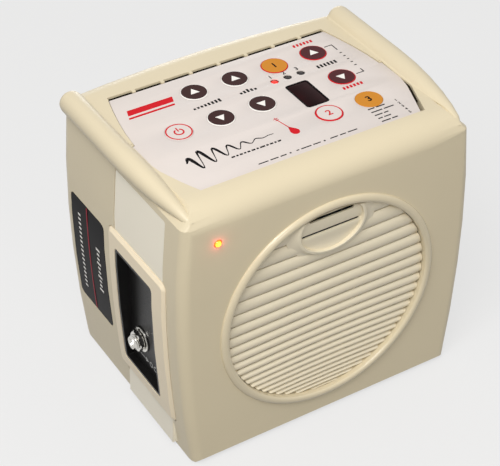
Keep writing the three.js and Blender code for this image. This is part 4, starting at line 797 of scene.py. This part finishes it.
# Rows of settings at the lower right, each a short bar broken in two, with its number
row_x, row_y, row_pitch, number_x, number_up, number_size = 31.8, -25.2, 2.3, 44.8, 0.3, 2.0
text_pieces = []
for row, lengths in enumerate(((3, 4), (5, 4.5), (3.5, 2), (2, 3), (4, 2.6))):
    y = row_y - row * row_pitch
    black_marks += dashes(row_x, y, lengths, gap=0.7, thickness=0.6, slant=0.12)
    text_pieces.append(raised(numeral(str(row + 1), number_size, (number_x, print_y + y + number_up)), film_top))

# Numbers over the three pilot lights
lamp_number_up, lamp_number_size = 3.2, 3.0
for i, (x, y) in enumerate(lamp_places):
    text_pieces.append(raised(numeral(str(i + 1), lamp_number_size, (x, y + lamp_number_up)), film_top))

# A line of dashes near the front edge, which rises slightly to the right
line_start, dash_y, dash_rise, dash_gap, dot_up, dot_radius, dot_step = -22, -33.6, 0.004, 0.9, 0.3, 0.42, 3.4
x = line_start
for length in (4.2, 3.4, 2.6, 0, 1.2, 4.4, 3.2, 0, 3.4, 2.6, 4.2):     # 0 is a dot
    if length:
        black_marks.append(bar(x, dash_y + (x - line_start) * dash_rise, length, 0.55, 0.15))
        x += length + dash_gap
    else:
        black_marks.append(circle((x + dash_gap, dash_y + dot_up), dot_radius, 16))
        x += dot_step

# A row of short dashes under the dying wave
short_x, short_y = -28.2, -25.1
short_lengths = (1.5, 0.9, 1.3, 0.9, 1.2, 1.6, 0.9, 2.2, 1.0, 1.4, 0.9, 1.4)
black_marks += dashes(short_x, short_y, short_lengths, gap=0.55, thickness=0.85, slant=0.15)

# A plucked string dying away, drawn with a broad pen in short strokes that share their ends
wave_from, wave_to, wave_y, wave_tall, wave_count = -44, -7, -19.6, 6.6, 6.5
wave_points, wave_step, wave_onset, wave_decay = 160, 6, 9, 1.4
pen_thin, pen_broad, pen_turn = 0.34, 1.35, 0.6
wave = []
wave_widths = []
for i in range(wave_points):
    share = i / (wave_points - 1)
    phase = share * wave_count * 2 * math.pi
    tall = wave_tall * (1 - share) ** wave_decay * min(share * wave_onset, 1)
    wave.append((wave_from + share * (wave_to - wave_from), wave_y + tall * math.sin(phase)))
    wave_widths.append(pen_thin + pen_broad * (1 - share) * (0.5 - 0.5 * math.cos(phase + pen_turn)))
for i in range(0, wave_points - 1, wave_step):
    black_marks.append(stroke(wave[i:i + wave_step + 1], wave_widths[i:i + wave_step + 1]))
piece("black_print", [*printed(black_marks), *text_pieces], [black_ink], slot="film")

# Two red stripes at the upper left, and a small long-necked lute in front of the tone keys
stripes = ((-47.6, 18.4, 19.6, 3.4, 1.1), (-48.3, 16.1, 19.6, 1.1, 0.35))      # left, foot, width, height, slant
red_marks += [bar(*stripe) for stripe in stripes]
lute_top, lute_foot, lute_radius = Vector((-1.5, -11.2)), Vector((0.75, -22.4)), 1.95
neck_end, neck_widths, gourd_sides, gourd_peak, gourd_narrow = (0.2, -19.6), (0.32, 0.5), 40, 1.5, 0.92
pegs, peg_width = ((0.7, 1.0), (1.7, 0.8)), 0.34       # place down the neck and reach of each pair
lute_way = (lute_foot - lute_top).normalized()
lute_side = Vector((lute_way.y, -lute_way.x))
gourd = []
for i in range(gourd_sides):
    angle = 2 * math.pi * i / gourd_sides
    along = lute_radius * math.cos(angle) + gourd_peak * max(math.cos(angle), 0) ** 6
    gourd.append(lute_foot - lute_way * along - lute_side * lute_radius * math.sin(angle) * gourd_narrow)
red_marks += [stroke([lute_top, neck_end], neck_widths), gourd]
for along, reach in pegs:
    peg = lute_top + lute_way * along
    red_marks.append(stroke([peg + lute_side * reach, peg - lute_side * reach], [peg_width, peg_width]))
piece("red_print", printed(red_marks), [red_ink], slot="film")


# Keys: round flat-topped caps on stems over tact switches. Each top is a disc of the same film, printed from
# behind in a dark, orange or clear colour, and rides on its own body, so the key can be pressed with its print.
key_radius, key_flange_radius, key_stem_radius, disc_radius = 5.42, 6.0, 1.6, 5.08
flange_drop, flange_thickness, disc_edge, key_sides = 1.05, 0.6, 0.6, 72
cap_edge = ((0, 0.2), (0.06, 0.08), (0.2, 0.01))       # inset and drop of the cap's rounded edge
arrow_half, arrow_base, arrow_point, arrow_up = 1.95, 1.2, 2.25, 0.1
ring_radii = {"key_power": (5.2, 4.64), "key_memory": (5.12, 4.74)}
symbol_radius, symbol_gap, symbol_pen, symbol_down, number_tall = 1.75, 28, 0.65, 0.1, 4.6
symbol_stem = (-0.27, 0.2, 0.54, 2.5)
dark_disc = printed_film("dark_brown_key_ink", "#3e2625", roughness=0.33, shine=0.06)
maroon_disc = printed_film("maroon_key_ink", "#502428", roughness=0.33, shine=0.06)
orange_disc = printed_film("orange_key_ink", "#d0892b", roughness=0.33, shine=0.08)
# colours of the disc, the cap and the mark, the slot, and the mark: a number, or the way an arrow points
key_looks = {
    "key_power": (white_film, white_film, red_ink, "key_pale", ""),
    "key_volume_up": (dark_disc, white_ink, white_ink, "key_brown", 1),
    "key_volume_down": (dark_disc, white_ink, white_ink, "key_brown", -1),
    "key_tone_up": (dark_disc, white_ink, white_ink, "key_brown", 1),
    "key_tone_down": (dark_disc, white_ink, white_ink, "key_brown", -1),
    "key_note": (orange_disc, red_ink, black_ink, "key_orange", "1"),
    "key_pitch_up": (maroon_disc, red_ink, white_ink, "key_maroon", 1),
    "key_pitch_down": (maroon_disc, red_ink, white_ink, "key_maroon", -1),
    "key_memory": (white_film, red_ink, red_ink, "key_pale", "2"),
    "key_mode": (orange_disc, orange_disc, black_ink, "key_orange", "3")}
for name, (x, y) in key_places.items():
    disc, cap, mark_ink, slot, mark = key_looks[name]
    low, high = box_mm(name)
    flange_high = high.z - flange_drop
    flange_low = flange_high - flange_thickness
    profile = [
        (0, low.z), (key_stem_radius, low.z), (key_stem_radius, flange_low), (key_flange_radius, flange_low),
        (key_flange_radius, flange_high), (key_radius, flange_high),
        *[(key_radius - inset, high.z - drop) for inset, drop in cap_edge], (disc_radius, high.z),
        (disc_radius - disc_edge, high.z), (0, high.z)]
    points, faces = turned(profile, "z", (x, y, 0), key_sides)
    paints = [0 if face >= len(faces) - 2 * key_sides else 1 for face in range(len(faces))]
    piece(f"{name}_cap", [(points, faces, paints)], [disc, cap], body=name, replaces=[name], slot=slot)

    marks = []
    if name == "key_power":
        round_line = arc(
            (x, y - symbol_down), (symbol_radius, symbol_radius), 90 + symbol_gap, 450 - symbol_gap, 40)
        left, bottom, width, tall = symbol_stem
        for shape in (stroke(round_line, [symbol_pen] * len(round_line)), bar(x + left, y + bottom, width, tall)):
            marks += [inked([shape], high.z)]
    elif mark in (1, -1):
        base, point = y + arrow_up - mark * arrow_base, y + arrow_up + mark * arrow_point
        marks += [inked([[(x - arrow_half, base), (x + arrow_half, base), (x, point)]], high.z)]
    else:
        marks += [raised(numeral(mark, number_tall, (x, y)), high.z)]
    if name in ring_radii:
        marks += [inked([circle((x, y), radius) for radius in ring_radii[name]], high.z)]
    piece(f"{name}_print", marks, [mark_ink], body=name, slot=slot)


# Display window and pilot lights: a smoked red acrylic pane bedded in black ink, so dark that the digit behind it
# hardly shows, and three round 3 mm lamps of which the first is lit.
smoke_mm, lamp_tint_mm = 7, 0.9
smoked_pane, tree, place = new_material("smoked_red_acrylic")
smoke = add(tree, "TexNoise", [(place, "Vector")], Scale=1 / (smoke_mm * mm), Detail=1.0)
tone = add(tree, "MixRGB", [(smoke.outputs["Fac"], 0)], Color1=linear("#100304"), Color2=linear("#30080c"))
pane = add(
    tree, "BsdfPrincipled", [(tone.outputs[0], "Base Color")], Roughness=0.2, IOR=1.49, Specular_IOR_Level=0.06)
add(tree, "OutputMaterial", [(pane.outputs[0], "Surface")])
border_width, border_corner, border_inset, pane_inset, pane_sunk, pane_edge = 0.62, 1.4, 0.03, 0.06, 0.08, 0.06


def window_edge(inset, corner=window_corner):
    """Outline of the window's opening, drawn in by this much."""
    return rounded(
        (window_low[0] + inset, window_low[1] + inset), (window_high[0] - inset, window_high[1] - inset), corner)


border_edges = [window_edge(-border_width, border_corner), window_edge(border_inset)]
piece("window_border", [plate(border_edges, film_bottom, film_top + ink_high)], [black_ink], slot="film")
piece(
    "window_pane", [plate([window_edge(pane_inset)], film_bottom, film_top - pane_sunk, pane_edge)], [smoked_pane],
    replaces=["display_window"], slot="window")


def lamp_plastic(name, hex_colour, glow_hex=None, strength=0.0):
    """Tinted clear plastic of a pilot light, lit or not: glossy, and uneven as if deeper inside."""
    material, tree, place = new_material(name)
    tint = add(tree, "TexNoise", [(place, "Vector")], Scale=1 / (lamp_tint_mm * mm), Detail=1.0)
    colour = add(
        tree, "MixRGB", [(tint.outputs["Fac"], 0)], Color1=shaded(hex_colour, 0.55), Color2=linear(hex_colour))
    shader = add(tree, "BsdfPrincipled", [(colour.outputs[0], "Base Color")], Roughness=0.14, IOR=1.54)
    if glow_hex:
        shader.inputs["Emission Color"].default_value = linear(glow_hex)
        shader.inputs["Emission Strength"].default_value = strength
    add(tree, "OutputMaterial", [(shader.outputs[0], "Surface")])
    return material


lit_lamp = lamp_plastic("lit_red_pilot", "#e02018", "#ff2a18", 0.85)
dark_lamp = lamp_plastic("unlit_pilot", "#1b1012")
pilot_radius, pilot_dome = 1.5, 0.75
pilot_looks = ((lit_lamp, "led_lit"), (dark_lamp, "led_dark"), (dark_lamp, "led_dark"))
for number, ((x, y), (plastic, slot)) in enumerate(zip(lamp_places, pilot_looks), 1):
    node = f"note_led_{number}"
    low, high = box_mm(node)
    dome = arc((0, high.z - pilot_dome), (pilot_radius, pilot_dome), 0, 90, 8)
    profile = [(0, low.z), (pilot_radius, low.z), *dome[:-1], (0, high.z)]
    piece(f"pilot_{number}", [turned(profile, "z", (x, y, 0), 32)], [plastic], replaces=[node], slot=slot)


# Left side: a paler light panel let in flush, and a raised frame of tan ABS round the socket pocket. The pocket is
# a black tray clipped in behind the frame. The panel is moulded in a paler, duller plastic; the panel's and the
# frame's colours are both also painted lighter, standing in for light on this side.
# panel and frame colours painted lighter, as painted light on the left side
pale_abs_painted_light = moulded_plastic("pale_abs_with_painted_light", "#fbf4e2", roughness=0.45)
frame_abs_painted_light = moulded_plastic("tan_abs_with_painted_light", "#f4e5c8", roughness=0.4)
black_abs = moulded_plastic("black_moulded_abs", "#151414", roughness=0.36, drift=0.08, shine=0.25)
for node, plastic in (("side_panel", pale_abs_painted_light), ("jack_bezel", frame_abs_painted_light), ("jack_tray", black_abs)):
    dress(node, plastic)


# Label: black printed film stuck to the side, with one red line down it and two columns of white ticks. It is
# smooth, and blacker than the tray beside it.
label_low, label_high = box_mm("side_label")
label_film = printed_film("black_label_film", "#0c0a0d", roughness=0.3, texture_depth_mm=0.002, shine=0.02)
label_red = printed_film("red_label_ink", "#9a1c30", roughness=0.3, shine=0.03)
label_ink_proud, label_ink_sunk = 0.035, 0.03
dress("side_label", label_film)


def side_mark(y, z, width, height, steps=1):
    """A thin bar of ink that follows the barrelled side; y and z give its lowest, foremost corner."""
    rings = []
    for step in range(steps + 1):
        level = z + height * step / steps
        x = side_surface(level)
        outer, inner = x - label_ink_proud, x + label_ink_sunk
        rings.append([(outer, y, level), (outer, y + width, level), (inner, y + width, level), (inner, y, level)])
    return skin(rings)


line_width, line_margin, line_steps = 0.85, 0.3, 12
line_y, line_foot = label_low.y + 14.1 - line_width / 2, label_low.z + line_margin
line_height = label_high.z - label_low.z - 2 * line_margin
piece("label_line", [side_mark(line_y, line_foot, line_width, line_height, line_steps)], [label_red])
long_tick, short_tick, side_tick_pitch, side_tick_height = 3.2, 1.92, 2.3, 0.9
mixed_ticks = [long_tick if i % 3 == 0 else short_tick for i in range(10)]
ticks = []
for column_y, widths in ((label_low.y + 6.1, mixed_ticks), (label_low.y + 21.1, [short_tick] * 17)):
    start = (label_low.z + label_high.z - side_tick_height - side_tick_pitch * (len(widths) - 1)) / 2
    for i, width in enumerate(widths):
        ticks.append(side_mark(column_y - width / 2, start + i * side_tick_pitch, width, side_tick_height))
piece("label_ticks", ticks, [white_ink])


# Output socket: a nickel-plated threaded bushing on a black moulded body behind the tray, held by a hexagon nut
# on a washer. The thread's crests and the nut's chamfers carry the bright lines.
def plated_metal(name, hex_colour, roughness, grain_mm=0.25, scratch_depth_mm=0.002):
    """Plated or drawn metal: bright, with faint scratches in its gloss, drawn coarser than real ones to show."""
    material, tree, place = new_material(name)
    wear = add(tree, "TexNoise", [(place, "Vector")], Scale=1 / (grain_mm * 8 * mm), Detail=3.0)
    grain = add(tree, "TexNoise", [(place, "Vector")], Scale=1 / (grain_mm * mm), Detail=2.0)
    gloss = add(
        tree, "MapRange", [(wear.outputs["Fac"], "Value")],
        From_Min=0.3, From_Max=0.7, To_Min=roughness * 0.7, To_Max=roughness * 1.35)
    colour = add(
        tree, "MixRGB", [(wear.outputs["Fac"], 0)], Color1=shaded(hex_colour, 0.86), Color2=linear(hex_colour))
    bump = add(tree, "Bump", [(grain.outputs["Fac"], "Height")], Strength=0.4, Distance=scratch_depth_mm * mm)
    surface = add(
        tree, "BsdfPrincipled",
        [(colour.outputs[0], "Base Color"), (gloss.outputs[0], "Roughness"), (bump.outputs[0], "Normal")],
        Metallic=1.0)
    add(tree, "OutputMaterial", [(surface.outputs[0], "Surface")])
    return material


bright_nickel = plated_metal("bright_nickel_plate", "#dcdad4", 0.16)
jack_low, jack_high = box_mm("line_out_jack")
jack_y, jack_z = (jack_low.y + jack_high.y) / 2, (jack_low.z + jack_high.z) / 2
tray_floor = -61
bush_radius, bore_radius, bore_depth, bore_edge, bush_edge, bush_core = 3.0, 1.8, 14, 0.3, 0.5, 2.9
thread_pitch, thread_depth, thread_sides, thread_steps = 0.75, 0.34, 48, 6
thread_from, thread_to, bush_hidden = jack_low.x + 0.7, tray_floor - 0.2, 3


def ring_round(x, radii):
    """A ring of points round the socket's axis, with a radius for each."""
    angles = [2 * math.pi * i / len(radii) for i in range(len(radii))]
    return [(x, jack_y + r * math.cos(a), jack_z + r * math.sin(a)) for r, a in zip(radii, angles)]


bush_rings = [ring_round(x, [radius] * thread_sides) for x, radius in (
    (jack_low.x + bore_depth, bore_radius), (jack_low.x + bore_edge, bore_radius),
    (jack_low.x, bore_radius + bore_edge), (jack_low.x, bush_radius - bush_edge))]
for step in range(int((thread_to - thread_from) / thread_pitch * thread_steps) + 1):
    turns = step / thread_steps
    waves = [0.5 - 0.5 * math.cos(2 * math.pi * (turns - i / thread_sides)) for i in range(thread_sides)]
    bush_end = thread_from + turns * thread_pitch
    bush_rings.append(ring_round(bush_end, [bush_radius - thread_depth * wave for wave in waves]))
bush_rings.append(ring_round(bush_end + bush_hidden, [bush_core] * thread_sides))
piece("socket_bushing", [skin(bush_rings)], [bright_nickel], slot="socket_nickel", crease_degrees=50)

body_edge, body_before = 0.3, 1.8
body_low = (tray_floor + body_before, jack_low.y + body_edge, jack_low.z + body_edge)
body_high = (jack_high.x, jack_high.y - body_edge, jack_high.z - body_edge)


def body_outline(x, inset):
    """Section of the socket's body with bevelled corners, drawn in by this much."""
    (y0, z0), (y1, z1) = (body_low[1] + inset, body_low[2] + inset), (body_high[1] - inset, body_high[2] - inset)
    return [
        (x, y0 + body_edge, z0), (x, y1 - body_edge, z0), (x, y1, z0 + body_edge), (x, y1, z1 - body_edge),
        (x, y1 - body_edge, z1), (x, y0 + body_edge, z1), (x, y0, z1 - body_edge), (x, y0, z0 + body_edge)]


socket_black = moulded_plastic("black_socket_moulding", "#191919", roughness=0.5)
body_rings = [
    body_outline(body_low[0], body_edge), body_outline(body_low[0] + body_edge, 0),
    body_outline(body_high[0] - body_edge, 0), body_outline(body_high[0], body_edge)]
piece("socket_body", [skin(body_rings)], [socket_black], replaces=["line_out_jack"], slot="socket_nickel")

nut_low, nut_high = box_mm("jack_nut")
nut_across, nut_bore, nut_chamfer, chamfer_depth, nut_sides = 4.6, 3.02, 0.45, 0.35, 72
nut_flats = []
for i in range(nut_sides):
    angle = math.pi / 2 - 2 * math.pi * i / nut_sides
    lean = (angle + math.pi / 6) % (math.pi / 3) - math.pi / 6
    nut_flats.append(nut_across * math.cos(math.pi / 6) / math.cos(lean))
nut_rings = [ring_round(x, [min(flat, nut_across - chamfer) for flat in nut_flats]) for x, chamfer in (
    (nut_low.x, nut_chamfer), (nut_low.x + chamfer_depth, 0), (nut_high.x - chamfer_depth, 0),
    (nut_high.x, nut_chamfer))]
nut_rings += [ring_round(x, [nut_bore] * nut_sides) for x in (nut_high.x, nut_low.x)]
piece(
    "socket_nut", [skin([*nut_rings, nut_rings[0]], capped=False)], [bright_nickel], replaces=["jack_nut"],
    slot="socket_nickel", crease_degrees=20)
washer_low, washer_high = box_mm("jack_washer")
washer_hole, washer_radius, washer_edge = 3.1, 5.4, (0.1, 0.12)
washer_profile = [
    (washer_hole, washer_high.x), (washer_hole, washer_low.x), (washer_radius - washer_edge[0], washer_low.x),
    (washer_radius, washer_low.x + washer_edge[1]), (washer_radius, washer_high.x)]
piece(
    "socket_washer", [turned(washer_profile, "x", (0, jack_y, jack_z), 64)], [bright_nickel],
    replaces=["jack_washer"], slot="socket_nickel")

# A small grey sign printed on the tray under the socket: an arrow that points to two rings
grey_ink = printed_film("grey_tray_ink", "#b4b5b4", roughness=0.4)
sign_from, sign_z, sign_ring = -jack_y - 3, jack_z - 9, (1.25, 0.8)


def tray_ink(outlines):
    """Ink on the tray's floor from outlines in Y (towards the front) and Z."""
    points, faces = plate(outlines, ink_low, ink_high)
    return [(tray_floor - z, -y, height) for y, height, z in points], faces


rings_at = [(sign_from + along, sign_z) for along in (9.4, 12.6)]
arrow = ((0, -0.25), (5.2, -0.25), (5.2, -1.1), (7.4, 0), (5.2, 1.1), (5.2, 0.25), (0, 0.25))
piece("tray_sign", [
    *[tray_ink([circle(place, radius, 32) for radius in sign_ring]) for place in rings_at],
    tray_ink([[(sign_from + along, sign_z + up) for along, up in arrow]])], [grey_ink])


# Underside and back: rubber feet in their recesses, zinc-plated screws deep in the case, and a black mains inlet
# with two brass pins.
def two_tones(tree, pattern, low_colour, high_colour, strength, depth_mm):
    """Links of a surface whose colour and relief both follow one pattern."""
    colour = add(tree, "MixRGB", [(pattern, 0)], Color1=low_colour, Color2=high_colour)
    bump = add(tree, "Bump", [(pattern, "Height")], Strength=strength, Distance=depth_mm * mm)
    return [(colour.outputs[0], "Base Color"), (bump.outputs[0], "Normal")]


def rubber(name, hex_colour, dust_mm=2.2, dust_depth_mm=0.03):
    """Matt moulded rubber with a little dust in patches, which takes the shine off its black."""
    material, tree, place = new_material(name)
    dust = add(tree, "TexNoise", [(place, "Vector")], Scale=1 / (dust_mm * mm), Detail=5.0)
    paler = (*[c * 1.9 + 0.01 for c in linear(hex_colour)[:3]], 1)
    links = two_tones(tree, dust.outputs["Fac"], linear(hex_colour), paler, 0.5, dust_depth_mm)
    surface = add(tree, "BsdfPrincipled", links, Roughness=0.82, IOR=1.52)
    add(tree, "OutputMaterial", [(surface.outputs[0], "Surface")])
    return material


black_rubber = rubber("black_foot_rubber", "#1f1f1f")
zinc_steel = plated_metal("zinc_plated_steel", "#b4b5b3", 0.34)
# inset from the foot's rim, and height, of its rounded edge and the shallow dish under it
foot_edge, dish_depth = ((0, 0.45), (0.13, 0.13), (0.45, 0), (1.3, 0), (1.5, 0.25)), 0.25
for number in range(1, 5):
    low, high = box_mm(f"rubber_foot_{number}")
    middle = (low + high) / 2
    radius = (high.x - low.x) / 2
    profile = [(0, high.z), (radius, high.z), *[(radius - inset, z) for inset, z in foot_edge], (0, dish_depth)]
    piece(
        f"foot_{number}", [turned(profile, "z", (middle.x, middle.y, 0), 48)], [black_rubber],
        replaces=[f"rubber_foot_{number}"], slot="foot_rubber")
    dress(f"case_screw_{number}", zinc_steel)
    dress(f"speaker_screw_{number}", zinc_steel)
dress("ac_inlet", moulded_plastic("black_inlet_moulding", "#161616", roughness=0.44))
inlet_low, inlet_high = box_mm("ac_inlet")
inlet_x, inlet_z = (inlet_low.x + inlet_high.x) / 2, (inlet_low.z + inlet_high.z) / 2
pin_spread, pin_radius, pin_dome, pin_root, pin_shoulder = 4.3, 1.24, 0.55, inlet_high.y - 9, inlet_high.y - 3
brass = plated_metal("drawn_brass", "#c9a85c", 0.24)
pin_profile = [
    (0, pin_root), (pin_radius, pin_root), (pin_radius, pin_shoulder),
    *arc((0, pin_shoulder), (pin_radius, pin_dome), 0, 90, 5)[1:-1], (0, pin_shoulder + pin_dome)]
piece("inlet_pins", [
    turned(pin_profile, "y", (inlet_x + side * pin_spread, 0, inlet_z), 32) for side in (-1, 1)], [brass])


# Loudspeaker behind the louvres: pressed steel basket, paper cone on a foam roll, cloth spider, copper coil, and a
# ferrite ring between two plates.
def fibrous(name, dark_hex, pale_hex, fibre_mm, roughness, depth_mm):
    """Felted, woven or sintered stuff: grains or fibres in two tones that stand up a little and dull the light."""
    material, tree, place = new_material(name)
    stretched = add(tree, "Mapping", [(place, "Vector")], Scale=(1, 1, 3.5))
    fibre = add(tree, "TexNoise", [(stretched.outputs[0], "Vector")], Scale=1 / (fibre_mm * mm), Detail=5.0)
    links = two_tones(tree, fibre.outputs["Fac"], linear(dark_hex), linear(pale_hex), 0.7, depth_mm)
    surface = add(tree, "BsdfPrincipled", links, Roughness=roughness, IOR=1.45)
    add(tree, "OutputMaterial", [(surface.outputs[0], "Surface")])
    return material


def banded(name, dark_hex, pale_hex, pitch_mm, axis, roughness, depth_mm, metallic=0.0):
    """Something laid in turns, leaves or cores side by side: bands of light and shade at a real pitch."""
    material, tree, place = new_material(name)
    bands = add(
        tree, "TexWave", [(place, "Vector")], wave_type="BANDS", bands_direction=axis,
        Scale=2 * math.pi / 20 / (pitch_mm * mm), Distortion=0.3)
    links = two_tones(tree, bands.outputs["Fac"], linear(dark_hex), linear(pale_hex), 0.8, depth_mm)
    surface = add(tree, "BsdfPrincipled", links, Roughness=roughness, Metallic=metallic)
    add(tree, "OutputMaterial", [(surface.outputs[0], "Surface")])
    return material


cone_paper = fibrous("black_cone_paper", "#121212", "#2c2b2a", 0.5, 0.9, 0.05)
plated_pole = plated_metal("chromated_pole_plate", "#86888a", 0.38)
speaker_finishes = {
    "speaker_basket": plated_metal("pressed_zinc_steel", "#8d9092", 0.36),
    "speaker_cone": cone_paper,
    "dust_cap": cone_paper,
    "speaker_surround": fibrous("black_foam_surround", "#101010", "#242424", 0.3, 0.95, 0.04),
    "speaker_spider": fibrous("resin_dipped_cotton", "#7f5f28", "#b48a48", 0.35, 0.85, 0.05),
    "speaker_terminals": fibrous("brown_paper_laminate", "#6a4c22", "#93703c", 0.6, 0.6, 0.02),
    "voice_coil": banded("enamelled_copper_turns", "#8a4a20", "#c9793c", 0.22, "Y", 0.32, 0.02, 0.9),
    "front_pole_plate": plated_pole,
    "back_pole_plate": plated_pole,
    "speaker_magnet": fibrous("sintered_ferrite", "#232325", "#37373a", 0.4, 0.6, 0.015)}
for node, finish in speaker_finishes.items():
    dress(node, finish)


# Electronics: green solder-masked boards, a laminated transformer, a sleeved capacitor, an extruded heat sink and
# the leads between them.
def circuit_board(name, mask_hex, track_hex, track_mm=6, track_depth_mm=0.035):
    """Solder mask over copper: darker green ground with paler tracks and pads showing through."""
    material, tree, place = new_material(name)
    tracks = add(
        tree, "TexBrick", [(place, "Vector")], Color1=(0, 0, 0, 1), Color2=(0.15, 0.15, 0.15, 1),
        Mortar=(1, 1, 1, 1), Scale=1 / (track_mm * mm), Mortar_Size=0.045, Brick_Width=1.6, Row_Height=0.55)
    links = two_tones(tree, tracks.outputs["Color"], linear(mask_hex), linear(track_hex), 0.5, track_depth_mm)
    surface = add(tree, "BsdfPrincipled", links, Roughness=0.3, IOR=1.52)
    add(tree, "OutputMaterial", [(surface.outputs[0], "Surface")])
    return material


board_green = circuit_board("green_solder_mask", "#1f4a2b", "#3d7a4c")
electronic_finishes = {
    "keypad_board": board_green,
    "power_board": board_green,
    "keypad_plate": moulded_plastic("black_key_carrier", "#262423", roughness=0.5),
    "digit_display": moulded_plastic("black_display_housing", "#161415", roughness=0.3),
    "transformer": banded("varnished_steel_laminations", "#26262a", "#4a4a4e", 0.5, "X", 0.42, 0.03, 0.4),
    "filter_capacitor": moulded_plastic("blue_shrink_sleeve", "#1d2f52", roughness=0.28, drift=0.1),
    "heat_sink": banded("extruded_aluminium", "#a6a9ab", "#c4c6c8", 0.8, "Z", 0.34, 0.01, 1.0),
    "ribbon_cable": banded("grey_ribbon_cores", "#7c7f83", "#a1a4a8", 1.27, "X", 0.5, 0.12),
    "speaker_leads": moulded_plastic("red_lead_pvc", "#a82424", roughness=0.38, drift=0.08),
    "jack_leads": moulded_plastic("black_lead_pvc", "#26262a", roughness=0.38, drift=0.08),
    "mains_leads": moulded_plastic("brown_lead_pvc", "#4f2f1e", roughness=0.38, drift=0.08)}
for node, finish in electronic_finishes.items():
    dress(node, finish)

bpy.context.scene.view_settings.view_transform = "Standard"
